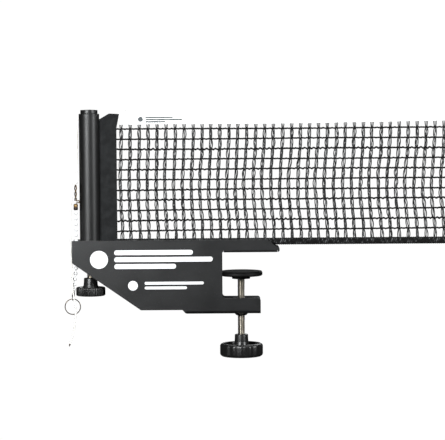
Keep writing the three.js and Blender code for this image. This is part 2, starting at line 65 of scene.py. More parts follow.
def meshFrom(name, points, faces=(), edges=()):
    mesh = bpy.data.meshes.new(name)
    mesh.from_pydata([tuple(Vector(p) * mm) for p in points], list(edges), list(faces))
    mesh.update()
    return mesh


def pieceFrom(name, mesh, material=None):
    piece = bpy.data.objects.new(name, mesh)
    bpy.context.scene.collection.objects.link(piece)
    if material:
        mesh.materials.clear()
        mesh.materials.append(material)
    return piece


def smooth(piece, angle=40):
    piece.data.shade_smooth()
    piece.data.set_sharp_from_angle(angle=math.radians(angle))
    return piece


def outwards(piece, merge=0.0):
    shape = bmesh.new()
    shape.from_mesh(piece.data)
    if merge:
        bmesh.ops.remove_doubles(shape, verts=shape.verts, dist=merge * mm)
    bmesh.ops.recalc_face_normals(shape, faces=shape.faces)
    shape.to_mesh(piece.data)
    shape.free()
    return piece


def applied(piece):  # the modifiers become part of the mesh
    graph = bpy.context.evaluated_depsgraph_get()
    mesh = bpy.data.meshes.new_from_object(piece.evaluated_get(graph))
    piece.modifiers.clear()
    piece.data = mesh
    return piece


def bevelled(piece, width, segments=2, angle=34):
    bevel = piece.modifiers.new("edges", "BEVEL")
    bevel.width = width * mm
    bevel.segments = segments
    bevel.limit_method = "ANGLE"
    bevel.angle_limit = math.radians(angle)
    piece.data.shade_smooth()
    weighted = piece.modifiers.new("flatFaces", "WEIGHTED_NORMAL")
    weighted.weight = 50
    weighted.keep_sharp = True
    return applied(piece)


def fromNode(node, name, material, edge=0.3, angle=34):  # a CAD piece again, with its edges broken
    shape = bmesh.new()
    shape.from_mesh(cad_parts[node].data)
    bmesh.ops.remove_doubles(shape, verts=shape.verts, dist=0.005 * mm)
    bmesh.ops.dissolve_limit(shape, angle_limit=math.radians(1), verts=shape.verts, edges=shape.edges)
    mesh = bpy.data.meshes.new(name)
    shape.to_mesh(mesh)
    shape.free()
    return bevelled(pieceFrom(name, mesh, material), edge, 2, angle)


def rounded(corners, steps=5, closed=True):  # an outline whose corners, (a, b, radius), are arcs
    points = []
    for i, (a, b, radius) in enumerate(corners):
        corner = Vector((a, b))
        atEnd = not closed and i in (0, len(corners) - 1)
        if radius == 0 or atEnd:
            points.append(corner)
            continue
        before = (Vector(corners[i - 1][:2]) - corner).normalized()
        after = (Vector(corners[(i + 1) % len(corners)][:2]) - corner).normalized()
        half = before.angle(after) / 2
        centre = corner + (before + after).normalized() * radius / math.sin(half)
        start = corner + before * radius / math.tan(half) - centre
        turn = (math.pi - 2 * half) * (1 if before.x * after.y - before.y * after.x < 0 else -1)
        for step in range(steps + 1):
            angle = turn * step / steps
            spoke = Matrix.Rotation(angle, 2) @ start
            points.append(centre + spoke)
    return points


def around(centre, reach, angle, height):  # a point on a circle round an upright axis
    return (centre[0] + reach * math.cos(angle), centre[1] + reach * math.sin(angle), height)


def lathe(name, outline, sides, centre, material, ripple=None):
    # outline is (radius, height) pairs, and ripple(radius, angle) gives another radius
    points, rings, faces = [], [], []
    for radius, height in outline:
        if radius < 1e-6:
            rings.append([len(points)] * sides)
            points.append((centre[0], centre[1], height))
            continue
        rings.append(list(range(len(points), len(points) + sides)))
        for side in range(sides):
            angle = 2 * math.pi * side / sides
            reach = ripple(radius, angle) if ripple else radius
            points.append(around(centre, reach, angle, height))
    closed = outline[0][0] > 1e-6
    pairs = list(zip(rings, rings[1:])) + ([(rings[-1], rings[0])] if closed else [])
    for lower, upper in pairs:
        for side in range(sides):
            ahead = (side + 1) % sides
            corners = [lower[side], lower[ahead], upper[ahead], upper[side]]
            unique = list(dict.fromkeys(corners))
            if len(unique) > 2:
                faces.append(unique)
    return smooth(outwards(pieceFrom(name, meshFrom(name, points, faces), material)))


def curveThrough(points, spacing):  # a smooth line through points, with even steps
    ends = [2 * Vector(points[0]) - Vector(points[1]), 2 * Vector(points[-1]) - Vector(points[-2])]
    knots = [ends[0], *map(Vector, points), ends[1]]
    fine = []
    for a, b, c, d in zip(knots, knots[1:], knots[2:], knots[3:]):
        t1 = (b - a).length ** 0.5
        t2 = t1 + (c - b).length ** 0.5
        t3 = t2 + (d - c).length ** 0.5
        for step in range(24):
            t = t1 + (t2 - t1) * step / 24
            ab = a * (t1 - t) / t1 + b * t / t1
            bc = b * (t2 - t) / (t2 - t1) + c * (t - t1) / (t2 - t1)
            cd = c * (t3 - t) / (t3 - t2) + d * (t - t2) / (t3 - t2)
            abc = ab * (t2 - t) / t2 + bc * t / t2
            bcd = bc * (t3 - t) / (t3 - t1) + cd * (t - t1) / (t3 - t1)
            fine.append(abc * (t2 - t) / (t2 - t1) + bcd * (t - t1) / (t2 - t1))
    fine.append(knots[-2])
    return evenly(fine, spacing)


def evenly(line, spacing):
    lengths = [0.0]
    for a, b in zip(line, line[1:]):
        lengths.append(lengths[-1] + (b - a).length)
    count = max(2, round(lengths[-1] / spacing))
    result, i = [], 0
    for step in range(count + 1):
        want = lengths[-1] * step / count
        while i < len(lengths) - 2 and lengths[i + 1] < want:
            i += 1
        part = (want - lengths[i]) / max(1e-9, lengths[i + 1] - lengths[i])
        result.append(line[i].lerp(line[i + 1], min(1, part)))
    return result


def tubeAlong(name, line, radius, sides, material, closed=False, taper=None):
    # a round tube with a UV map, x once round it and y along it in millimetres
    count = len(line)
    tangents = []
    for i in range(count):
        after = line[(i + 1) % count] if closed or i < count - 1 else line[i]
        before = line[i - 1] if closed or i > 0 else line[i]
        tangents.append((after - before).normalized())
    normal = tangents[0].orthogonal().normalized()
    points, frames = [], []
    for i, tangent in enumerate(tangents):
        normal = (normal - tangent * normal.dot(tangent)).normalized()
        frames.append((normal.copy(), tangent.cross(normal)))
    twist = 0.0
    if closed:  # spread the difference between the last and the first section
        last = (frames[-1][0] - tangents[0] * frames[-1][0].dot(tangents[0])).normalized()
        twist = math.atan2(last.dot(frames[0][1]), last.dot(frames[0][0]))
    for i, (side, up) in enumerate(frames):
        size = radius * (taper(i / (count - 1)) if taper else 1)
        for j in range(sides):
            angle = 2 * math.pi * j / sides - twist * i / count
            points.append(line[i] + size * (math.cos(angle) * side + math.sin(angle) * up))
    faces, spots = [], []
    run = [0.0]
    for a, b in zip(line, line[1:]):
        run.append(run[-1] + (b - a).length)
    run.append(run[-1] + (line[0] - line[-1]).length)
    for i in range(count if closed else count - 1):
        for j in range(sides):
            k = (j + 1) % sides
            n = (i + 1) % count
            faces.append((i * sides + j, i * sides + k, n * sides + k, n * sides + j))
            spots += [(j / sides, run[i]), ((j + 1) / sides, run[i]), ((j + 1) / sides, run[i + 1])]
            spots.append((j / sides, run[i + 1]))
    if not closed:
        for ring, along in ((range(sides - 1, -1, -1), 0), (range(sides), (count - 1) * sides)):
            faces.append(tuple(along + j for j in ring))
            spots += [(0.5, run[0] if along == 0 else run[count - 1])] * sides
    mesh = meshFrom(name, points, faces)
    layer = mesh.uv_layers.new(name="along")
    layer.data.foreach_set("uv", [value for spot in spots for value in spot])
    return smooth(pieceFrom(name, mesh, material), 60)


def flatShape(name, outlines, depth, material):  # shapes in the XZ plane, between the two depths
    points, faces = [], []
    for outline in outlines:
        start, count = len(points), len(outline)
        points += [(x, y, z) for y in depth for x, z in outline]
        faces.append(tuple(range(start, start + count)))
        faces.append(tuple(range(start + 2 * count - 1, start + count - 1, -1)))
        for i in range(count):
            k = (i + 1) % count
            faces.append((start + k, start + i, start + count + i, start + count + k))
    return smooth(outwards(pieceFrom(name, meshFrom(name, points, faces), material)))


def joined(name, pieces):  # several pieces become one
    mesh = bpy.data.meshes.new(name)
    shape = bmesh.new()
    for piece in pieces:
        shape.from_mesh(piece.data)
    shape.to_mesh(mesh)
    shape.free()
    whole = pieceFrom(name, mesh, pieces[0].data.materials[0])
    for piece in pieces:
        bpy.data.objects.remove(piece)
    return smooth(whole, 50)


def place(piece, body, slot, *nodes):
    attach(piece, body)
    if nodes:
        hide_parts(*nodes)
    return piece


# Helpers for nodes.

def addNode(tree, kind, inputs=None, **settings):
    made = tree.nodes.new(kind)
    for key, value in settings.items():
        setattr(made, key, value)
    for socket, value in (inputs or {}).items():
        if isinstance(value, bpy.types.NodeSocket):
            tree.links.new(value, made.inputs[socket])
        else:
            made.inputs[socket].default_value = value
    return made


def newMaterial(name, **surface):
    material = bpy.data.materials.new(name)
    material.use_nodes = True
    shader = material.node_tree.nodes["Principled BSDF"]
    for socket, value in surface.items():
        shader.inputs[socket.replace("_", " ")].default_value = value
    return material, material.node_tree, shader


def grey(level, warm=0.0):
    return (level * (1 + warm), level, level * (1 - warm), 1)


def spotOf(tree, stretch=(1, 1, 1)):  # object coordinates, stretched
    coordinates = addNode(tree, "ShaderNodeTexCoord").outputs["Object"]
    return addNode(tree, "ShaderNodeMapping", {"Vector": coordinates, "Scale": stretch}).outputs[0]


def noiseOf(tree, spot, scale, detail=3.0, rough=0.5):
    sockets = {"Vector": spot, "Scale": scale, "Detail": detail, "Roughness": rough}
    return addNode(tree, "ShaderNodeTexNoise", sockets).outputs["Fac"]


def ranged(tree, value, low, high, start=0.3, stop=0.7):  # value from start to stop becomes low to high
    sockets = {"Value": value, "From Min": start, "From Max": stop, "To Min": low, "To Max": high}
    return addNode(tree, "ShaderNodeMapRange", sockets).outputs[0]


def mathOf(tree, operation, a, b=0.0):
    made = addNode(tree, "ShaderNodeMath", {0: a, 1: b}, operation=operation)
    return made.outputs[0]


def mixOf(tree, part, a, b):
    made = addNode(tree, "ShaderNodeMix", data_type="RGBA")
    for socket, value in ((0, part), (6, a), (7, b)):
        if isinstance(value, bpy.types.NodeSocket):
            tree.links.new(value, made.inputs[socket])
        else:
            made.inputs[socket].default_value = value
    return made.outputs[2]


def bumpOf(tree, height, distance, strength=1.0, under=None):
    sockets = {"Height": height, "Distance": distance * mm, "Strength": strength}
    if under:
        sockets["Normal"] = under
    return addNode(tree, "ShaderNodeBump", sockets).outputs[0]


def feed(tree, shader, **sources):
    for socket, source in sources.items():
        tree.links.new(source, shader.inputs[socket.replace("_", " ")])


# Materials.

def weaveOf(tree, spot, threads):  # crossing threads, this many millimetres from one to the next
    turns = 2 * math.pi / (threads * mm)
    axes = addNode(tree, "ShaderNodeSeparateXYZ", {0: spot})
    weft = mathOf(tree, "SINE", mathOf(tree, "MULTIPLY", axes.outputs[0], turns))
    warp = mathOf(tree, "SINE", mathOf(tree, "MULTIPLY", axes.outputs[2], turns))
    return mathOf(tree, "MULTIPLY", weft, warp)


def tinted(colour, part):
    return tuple(part * channel for channel in colour[:3]) + (1,)


def powderCoat():
    look = {"dark": 0.005, "light": 0.008, "roughLow": 0.35, "roughHigh": 0.41, "grainSize": 0.55}
    material, tree, shader = newMaterial("powderCoat", Specular_IOR_Level=0.55)
    spot = spotOf(tree)
    patches = noiseOf(tree, spot, 38, 4)
    fine = noiseOf(tree, spot, 1 / (look["grainSize"] * mm), 2)
    low = (look["dark"] * 0.97, look["dark"], look["dark"] * 1.06, 1)
    high = (look["light"] * 0.97, look["light"], look["light"] * 1.06, 1)
    colour = mixOf(tree, ranged(tree, patches, 0, 1), low, high)
    specks = ranged(tree, noiseOf(tree, spot, 900, 1), 0, 0.12, 0.68, 0.74)
    feed(tree, shader, Base_Color=mixOf(tree, specks, colour, grey(0.12)))
    feed(tree, shader, Roughness=ranged(tree, patches, look["roughLow"], look["roughHigh"]))
    feed(tree, shader, Normal=bumpOf(tree, fine, 0.018, 0.6))
    return material


def blackTube():
    look = {"colour": 0.003, "roughLow": 0.39, "roughHigh": 0.45, "drawLines": 260}
    material, tree, shader = newMaterial("blackTube", Base_Color=grey(look["colour"]))
    lines = noiseOf(tree, spotOf(tree, (1, 1, 0.02)), look["drawLines"], 4)
    patches = noiseOf(tree, spotOf(tree), 60, 4)
    rough = ranged(tree, patches, look["roughLow"], look["roughHigh"])
    shade = ranged(tree, patches, 0, 1)
    feed(tree, shader, Base_Color=mixOf(tree, shade, grey(look["colour"]), grey(look["colour"] * 1.5)))
    feed(tree, shader, Roughness=rough, Normal=bumpOf(tree, lines, 0.01, 0.5))
    return material


def mouldedPlastic(name, colour, roughLow, roughHigh, gleam=0.5):
    material, tree, shader = newMaterial(name, Specular_IOR_Level=gleam)
    spot = spotOf(tree)
    patches = noiseOf(tree, spot, 90, 3)
    texture = noiseOf(tree, spot, 2600, 2)
    feed(tree, shader, Base_Color=mixOf(tree, patches, grey(colour * 0.8), grey(colour * 1.25)))
    feed(tree, shader, Roughness=ranged(tree, patches, roughLow, roughHigh))
    feed(tree, shader, Normal=bumpOf(tree, texture, 0.012, 0.5))
    return material


def rubber():
    material, tree, shader = newMaterial("padRubber", Specular_IOR_Level=0.06)
    spot = spotOf(tree)
    patches = noiseOf(tree, spot, 120, 4)
    pores = addNode(tree, "ShaderNodeTexVoronoi", {"Vector": spot, "Scale": 1500.0}).outputs["Distance"]
    feed(tree, shader, Base_Color=mixOf(tree, patches, grey(0.003), grey(0.008)))
    feed(tree, shader, Roughness=ranged(tree, patches, 0.7, 0.9))
    feed(tree, shader, Normal=bumpOf(tree, pores, 0.05, 0.6))
    return material


def metal(name, colour, roughLow, roughHigh, brush=(1, 1, 0.05), stain=0.55, rim=1.0):
    material, tree, shader = newMaterial(name, Metallic=1.0, Specular_Tint=grey(rim))
    lines = noiseOf(tree, spotOf(tree, brush), 900, 3)
    patches = noiseOf(tree, spotOf(tree), 140, 5)
    dull = tinted(colour, stain)
    feed(tree, shader, Base_Color=mixOf(tree, ranged(tree, patches, 0, 1, 0.35, 0.75), colour, dull))
    feed(tree, shader, Roughness=ranged(tree, patches, roughLow, roughHigh))
    feed(tree, shader, Normal=bumpOf(tree, lines, 0.006, 0.4))
    return material


def canvas():
    look = {"threads": 1.05, "dark": 0.001, "light": 0.017}
    surface = {"Sheen_Weight": 0.03, "Sheen_Roughness": 0.5, "Specular_IOR_Level": 0.15}
    material, tree, shader = newMaterial("blackCanvas", **surface)
    spot = spotOf(tree)
    weave = weaveOf(tree, spot, look["threads"])
    uneven = noiseOf(tree, spotOf(tree, (1, 1, 0.3)), 420, 4)
    height = mathOf(tree, "ADD", weave, mathOf(tree, "MULTIPLY", uneven, 1.4))
    wash = noiseOf(tree, spot, 150, 5)
    thread = ranged(tree, height, 0, 1, -0.6, 1.7)
    colour = mixOf(tree, thread, grey(look["dark"]), grey(look["light"], -0.05))
    worn = ranged(tree, wash, 0, 0.5, 0.4, 0.7)
    feed(tree, shader, Base_Color=mixOf(tree, worn, colour, grey(0.026, -0.04)))
    feed(tree, shader, Roughness=ranged(tree, uneven, 0.75, 0.95))
    feed(tree, shader, Normal=bumpOf(tree, height, 0.09, 0.8))
    return material


def netYarn():
    look = {"dark": 0.003, "light": 0.15}
    surface = {"Sheen_Weight": 0.03, "Sheen_Roughness": 0.5, "Specular_IOR_Level": 0.2}
    material, tree, shader = newMaterial("netYarn", **surface)
    shade = addNode(tree, "ShaderNodeAttribute", attribute_name="shade").outputs["Fac"]
    spot = spotOf(tree, (1, 1, 0.5))
    fibres = noiseOf(tree, spot, 1700, 3)
    ply = addNode(tree, "ShaderNodeTexWave", {"Vector": spotOf(tree), "Scale": 420.0, "Distortion": 3.0})
    ply.bands_direction = "DIAGONAL"
    part = mathOf(tree, "MULTIPLY", shade, ranged(tree, fibres, 0.7, 1.2))
    feed(tree, shader, Base_Color=mixOf(tree, part, grey(look["dark"]), grey(look["light"], -0.02)))
    feed(tree, shader, Roughness=ranged(tree, fibres, 0.65, 0.95))
    under = bumpOf(tree, ply.outputs["Fac"], 0.08, 0.6)
    feed(tree, shader, Normal=bumpOf(tree, fibres, 0.05, 0.6, under))
    return material


def whiteTape():
    look = {"threads": 0.5, "dark": 0.9, "light": 0.97, "paintedGlow": 0.22}
    material, tree, shader = newMaterial("whiteTape", Sheen_Weight=0.1)
    spot = spotOf(tree)
    weave = weaveOf(tree, spot, look["threads"])
    cloud = noiseOf(tree, spot, 30, 4)
    colour = mixOf(tree, ranged(tree, weave, 0, 1, -1.5, 0.6), grey(look["dark"]), grey(look["light"]))
    soiled = ranged(tree, cloud, 0, 0.1, 0.55, 0.8)
    feed(tree, shader, Base_Color=mixOf(tree, soiled, colour, (0.88, 0.87, 0.84, 1)))
    feed(tree, shader, Roughness=ranged(tree, cloud, 0.7, 0.88))
    feed(tree, shader, Normal=bumpOf(tree, weave, 0.04, 0.7))
    # painted glow: the tape gives off a little light in its own colour, which lifts it to full white
    feed(tree, shader, Emission_Color=colour)
    shader.inputs["Emission Strength"].default_value = look["paintedGlow"]
    return material


def cordMaterial(name, light, dark, plait=4.0):  # braided strands that follow the cord
    material, tree, shader = newMaterial(name)
    along = addNode(tree, "ShaderNodeUVMap", uv_map="along").outputs[0]
    axes = addNode(tree, "ShaderNodeSeparateXYZ", {0: along})
    turned = mathOf(tree, "MULTIPLY", axes.outputs[0], 2 * math.pi * plait)
    length = mathOf(tree, "MULTIPLY", axes.outputs[1], 2 * math.pi / 1.4)
    right = mathOf(tree, "SINE", mathOf(tree, "ADD", turned, length))
    left = mathOf(tree, "SINE", mathOf(tree, "SUBTRACT", turned, length))
    braid = mathOf(tree, "MAXIMUM", right, left)
    fibres = noiseOf(tree, spotOf(tree), 2500, 3)
    height = mathOf(tree, "ADD", braid, fibres)
    dirt = ranged(tree, noiseOf(tree, spotOf(tree), 70, 4), 0, 0.6, 0.45, 0.8)
    colour = mixOf(tree, ranged(tree, height, 0, 1, -0.4, 1.3), dark, light)
    feed(tree, shader, Base_Color=mixOf(tree, dirt, colour, dark))
    feed(tree, shader, Roughness=ranged(tree, fibres, 0.7, 0.95))
    feed(tree, shader, Normal=bumpOf(tree, height, 0.08, 0.7))
    return material


def printedInk(name, colour):
    material, tree, shader = newMaterial(name)
    spot = spotOf(tree)
    patches = noiseOf(tree, spot, 400, 3)
    worn = mixOf(tree, ranged(tree, patches, 0, 0.12), colour, tinted(colour, 0.7))
    feed(tree, shader, Base_Color=worn)
    feed(tree, shader, Roughness=ranged(tree, patches, 0.45, 0.6))
    feed(tree, shader, Normal=bumpOf(tree, noiseOf(tree, spot, 1800, 2), 0.012, 0.5))
    return material


coat = powderCoat()
tubePaint = blackTube()
knobPlastic = mouldedPlastic("knobPlastic", 0.007, 0.28, 0.38)
discPlastic = mouldedPlastic("discPlastic", 0.003, 0.5, 0.62, 0.15)
guidePlastic = mouldedPlastic("guidePlastic", 0.02, 0.45, 0.6)
padRubber = rubber()
screwSteel = metal("screwSteel", (0.46, 0.43, 0.38, 1), 0.28, 0.42, (1, 1, 1), 0.5)
plainSteel = metal("plainSteel", (0.5, 0.51, 0.53, 1), 0.35, 0.5)
brass = metal("hookBrass", (0.12, 0.075, 0.035, 1), 0.3, 0.5, (1, 1, 1), 0.5)
goldPlate = metal("goldPlate", (0.3, 0.19, 0.08, 1), 0.25, 0.4, (1, 1, 1), 0.7)
darkPlate = metal("darkPlate", (0.05, 0.04, 0.035, 1), 0.3, 0.5, (1, 1, 1), 0.6)
nickel = metal("chainNickel", (0.034, 0.026, 0.019, 1), 0.3, 0.42, (1, 1, 1), 0.6, 0.12)
ringSteel = metal("ringSteel", (0.17, 0.14, 0.11, 1), 0.22, 0.34, (1, 1, 1), 0.6, 0.4)
sleeveCanvas = canvas()
yarn = netYarn()
tapeCloth = whiteTape()
cordWhite = cordMaterial("whiteCord", (0.95, 0.93, 0.89, 1), (0.7, 0.67, 0.61, 1))
cordBurnt = cordMaterial("burntCord", (0.12, 0.075, 0.05, 1), (0.012, 0.01, 0.009, 1))
whiteInk = printedInk("whiteInk", (0.85, 0.85, 0.86, 1))
darkInk = printedInk("darkInk", (0.06, 0.07, 0.075, 1))
print("materials made")


# Stage, camera and lights.

studio = {
    "cameraAt": (-19.5, -2030, 144),
    "aimAt": (-19.5, 0, 33.85),
    "lens": 153.4,
    "lean": -0.4,
    "floorDepth": -450,
    "world": 0.03,
    "floorGlow": 1.03,
    "lampColour": (0.97, 0.99, 1.0),
    "softboxes": {  # azimuth, elevation, distance, width, height, power
        "leftSoftbox": (-30, 15, 1.15, 0.5, 0.6, 18),
        "rightSoftbox": (52, 16, 1.4, 0.45, 0.7, 16),
        "topSoftbox": (0, 58, 1.5, 1.6, 0.8, 7),
        "rearSoftbox": (165, 30, 1.8, 1.2, 0.8, 10),
    },
}


def softbox(name, azimuth, elevation, distance, width, height, power):
    light = bpy.data.lights.new(name, "AREA")
    light.shape = "RECTANGLE"
    light.size, light.size_y, light.energy = width, height, power
    light.color = studio["lampColour"]
    lamp = bpy.data.objects.new(name, light)
    turn, rise = math.radians(azimuth), math.radians(elevation)
    away = Vector((math.sin(turn) * math.cos(rise), -math.cos(turn) * math.cos(rise), math.sin(rise)))
    lamp.location = Vector(studio["aimAt"]) * mm + away * distance
    lamp.rotation_mode = "QUATERNION"
    lamp.rotation_quaternion = away.to_track_quat("Z", "Y")
    lamp.visible_camera = False
    bpy.context.scene.collection.objects.link(lamp)


def backdrop():
    floor = studio["floorDepth"]
    outline = rounded([(0, floor, 0), (4500, floor, 1500), (4500, 4500, 1500), (0, 4500, 0)], 10, False)
    surface = {"Base_Color": grey(0.0), "Roughness": 1.0, "Specular_IOR_Level": 0.0}
    material, tree, shader = newMaterial("paleFloor", **surface)
    tone = ranged(tree, noiseOf(tree, spotOf(tree), 1.5, 2), 0.985, 1.0)
    shade = addNode(tree, "ShaderNodeCombineColor", {0: tone, 1: tone, 2: tone}).outputs[0]
    feed(tree, shader, Emission_Color=shade)
    shader.inputs["Emission Strength"].default_value = studio["floorGlow"]
    shell = lathe("studioShell", outline, 48, (0, 0), material)
    shell.data.flip_normals()
    shell.visible_glossy = False
    shell.visible_diffuse = False
    shell.visible_shadow = False


def makeStudio():
    camera = bpy.data.cameras.new("studioCamera")
    camera.lens, camera.sensor_width = studio["lens"], 36
    camera.clip_start, camera.clip_end = 0.05, 40
    holder = bpy.data.objects.new("studioCamera", camera)
    holder.location = Vector(studio["cameraAt"]) * mm
    look = Vector(studio["aimAt"]) - Vector(studio["cameraAt"])
    holder.rotation_mode = "QUATERNION"
    turn = look.to_track_quat("-Z", "Y")
    lean = Matrix.Rotation(math.radians(studio["lean"]), 3, "Z")
    holder.rotation_quaternion = turn @ lean.to_quaternion()
    bpy.context.scene.collection.objects.link(holder)
    bpy.context.scene.camera = holder
    world = bpy.data.worlds.new("studioWorld")
    world.use_nodes = True
    world.node_tree.nodes["Background"].inputs["Color"].default_value = grey(studio["world"])
    bpy.context.scene.world = world
    bpy.context.scene.view_settings.view_transform = "Standard"
    for name, setting in studio["softboxes"].items():
        softbox(name, *setting)
    backdrop()


makeStudio()
print("stage, camera and lights made")


# Trees that repeat or follow a line.

def newTree(name, inputs):
    tree = bpy.data.node_groups.new(name, "GeometryNodeTree")
    tree.interface.new_socket("Lines", in_out="INPUT", socket_type="NodeSocketGeometry")
    for label, kind in inputs:
        tree.interface.new_socket(label, in_out="INPUT", socket_type="NodeSocket" + kind)
    tree.interface.new_socket("Mesh", in_out="OUTPUT", socket_type="NodeSocketGeometry")
    return tree, tree.nodes.new("NodeGroupInput").outputs


def closeTree(tree, geometry, material):  # real faces, smooth and with their material
    real = addNode(tree, "GeometryNodeRealizeInstances", {"Geometry": geometry})
    smoothed = addNode(tree, "GeometryNodeSetShadeSmooth", {"Geometry": real.outputs[0]})
    sockets = {"Geometry": smoothed.outputs[0], "Material": material}
    painted = addNode(tree, "GeometryNodeSetMaterial", sockets)
    addNode(tree, "NodeGroupOutput", {0: painted.outputs[0]})


def pointsAlong(tree, lines, gap):  # a curve on the lines, and points on it at even steps
    curve = addNode(tree, "GeometryNodeMeshToCurve", {0: lines}).outputs[0]
    sockets = {"Curve": curve, "Length": gap}
    return curve, addNode(tree, "GeometryNodeCurveToPoints", sockets, mode="LENGTH").outputs


def repeated(tree, spots, instance, **more):
    sockets = {"Points": spots["Points"], "Instance": instance, "Rotation": spots["Rotation"], **more}
    return addNode(tree, "GeometryNodeInstanceOnPoints", sockets).outputs[0]


def tubeOf(tree, curve, sides, radius, **more):
    ring = addNode(tree, "GeometryNodeCurvePrimitiveCircle", {"Resolution": sides, "Radius": radius})
    sockets = {"Curve": curve, "Profile Curve": ring.outputs[0], "Fill Caps": True, **more}
    return addNode(tree, "GeometryNodeCurveToMesh", sockets).outputs[0]


def yarnTree():  # a round yarn on each line, its thickness from the line's own swell
    tree, given = newTree("yarnAlongLines", [("Radius", "Float"), ("Sides", "Int"), ("Yarn", "Material")])
    curve = addNode(tree, "GeometryNodeMeshToCurve", {0: given["Lines"]}).outputs[0]
    swell = addNode(tree, "GeometryNodeInputNamedAttribute", {"Name": "swell"}).outputs[0]
    closeTree(tree, tubeOf(tree, curve, given["Sides"], given["Radius"], Scale=swell), given["Yarn"])
    return tree


def stitchTree():  # a row of stitches along each line
    inputs = [("Spacing", "Float"), ("Length", "Float"), ("Thickness", "Float"), ("Thread", "Material")]
    tree, given = newTree("stitchRow", inputs)
    spots = pointsAlong(tree, given["Lines"], given["Spacing"])[1]
    bead = addNode(tree, "GeometryNodeMeshUVSphere", {"Segments": 6, "Rings": 5, "Radius": 0.5})
    jitter = addNode(tree, "FunctionNodeRandomValue", {2: 0.88, 3: 1.05, "Seed": 5})
    long = mathOf(tree, "MULTIPLY", given["Length"], jitter.outputs[1])
    wide = given["Thickness"]
    size = addNode(tree, "ShaderNodeCombineXYZ", {0: wide, 1: wide, 2: long}).outputs[0]
    closeTree(tree, repeated(tree, spots, bead.outputs[0], Scale=size), given["Thread"])
    return tree


def chainTree():  # balls at even steps on a line, with the link wire between them
    inputs = [("Pitch", "Float"), ("Ball", "Float"), ("Link", "Float"), ("Metal", "Material")]
    tree, given = newTree("ballChain", inputs)
    curve, spots = pointsAlong(tree, given["Lines"], given["Pitch"])
    half = mathOf(tree, "MULTIPLY", given["Ball"], 0.5)
    ball = addNode(tree, "GeometryNodeMeshUVSphere", {"Segments": 20, "Rings": 14, "Radius": half})
    balls = repeated(tree, spots, ball.outputs[0])
    link = tubeOf(tree, curve, 10, mathOf(tree, "MULTIPLY", given["Link"], 0.5))
    both = addNode(tree, "GeometryNodeJoinGeometry")
    tree.links.new(balls, both.inputs[0])
    tree.links.new(link, both.inputs[0])
    closeTree(tree, both.outputs[0], given["Metal"])
    return tree


def linesFrom(name, lines, shades=None, swells=None):  # lines are lists of points, in millimetres
    points, edges = [], []
    for line in lines:
        edges += [(len(points) + i, len(points) + i + 1) for i in range(len(line) - 1)]
        points += line
    mesh = meshFrom(name, points, edges=edges)
    for label, values in (("shade", shades), ("swell", swells)):
        layer = mesh.attributes.new(label, "FLOAT", "POINT")
        flat = [value for row in values for value in row] if values else [1.0] * len(points)
        layer.data.foreach_set("value", flat)
    return mesh


def grown(name, lines, tree, **inputs):  # runs a tree on lines and keeps the result as a plain mesh
    piece = pieceFrom(name, lines)
    modifier = piece.modifiers.new("grow", "NODES")
    modifier.node_group = tree
    for item in tree.interface.items_tree:
        if item.in_out == "INPUT" and item.name in inputs:
            modifier[item.identifier] = inputs[item.name]
    piece.update_tag()
    bpy.context.view_layer.update()
    return applied(piece)


yarns, stitches, chains = yarnTree(), stitchTree(), chainTree()


def stitchRow(name, line, length, gap, thickness, thread):
    sizes = {"Spacing": (length + gap) * mm, "Length": length * mm, "Thickness": thickness * mm}
    return grown(name, linesFrom(name, [line]), stitches, Thread=thread, **sizes)


# Clamp body and what is fixed to it.

clampBody = {"edge": 0.35, "padEdge": 0.25, "markHeight": 0.05, "bossBore": 4.3}
bodyLow = boxOf("clamp_body")[0]


def stripeShape(x0, x1, z0, z1, lean=0.0):  # a bar with round ends that may lean
    half = (z1 - z0) / 2
    corners = ((x0, z0), (x1, z0), (x1 + lean, z1), (x0 + lean, z1))
    return rounded([(x, z, half * 0.9) for x, z in corners], 6)


def discShape(x, z, radius, sides=40):
    angles = [2 * math.pi * i / sides for i in range(sides)]
    return [(x + radius * math.cos(angle), z + radius * math.sin(angle)) for angle in angles]


def makeClampBody():
    body = fromNode("clamp_body", "clampBody", coat, clampBody["edge"])
    place(body, "clamp_frame", "clamp_coat", "clamp_body")
    pad = fromNode("jaw_pad", "jawPad", padRubber, clampBody["padEdge"])
    place(pad, "clamp_frame", "pad_rubber", "jaw_pad")
    front = bodyLow.y
    depth = (front - clampBody["markHeight"], front + 0.02)
    large = [discShape(-151.5, -7, 9.6)]
    for row, (start, end) in enumerate([(-136, -52), (-136, -31), (-136, -70)]):
        top = 3.0 - row * 7.4
        large.append(stripeShape(start, end, top - 5.2, top, 1.5))
    mark = flatShape("frontMark", large, depth, whiteInk)
    place(mark, "clamp_frame", "clamp_coat")
    small = [discShape(-115.5, -35, 5.2)]
    small += [stripeShape(-103, -40, -34, -31), stripeShape(-103, -58, -39, -36)]
    lower = flatShape("frontSmallMark", small, depth, whiteInk)
    place(lower, "clamp_frame", "clamp_coat")


def makeBoss():
    low, high = boxOf("clamp_nut_boss")
    centre = ((low.x + high.x) / 2, 0)
    bore = clampBody["bossBore"]
    outline = [(bore, low.z + 0.2, 0), (bore + 0.5, low.z, 0), (bore + 1.2, low.z, 0.2)]
    outline += [(8, bodyLow.z, 0.4), (8, high.z - 5.9, 0), (10, high.z - 5.9, 0.3)]
    outline += [(10, high.z - 4.2, 0.5), (bore, high.z, 0)]
    boss = lathe("clampBoss", rounded(outline, 4), 72, centre, knobPlastic)
    place(boss, "clamp_frame", "black_plastic", "clamp_nut_boss")


makeClampBody()
makeBoss()
print("clamp body made")


# Post.

postLook = {
    "rimEdge": 0.35, "capEdge": 0.5, "wall": 1.5,
    "slotHalf": 1.5, "slotFoot": 10.0, "notchHalf": 1.05, "notchFoot": 142.4,
}
postLow, postHigh = boxOf("post_tube")
postX = (postLow.x + postHigh.x) / 2
postRadius = (postHigh.y - postLow.y) / 2


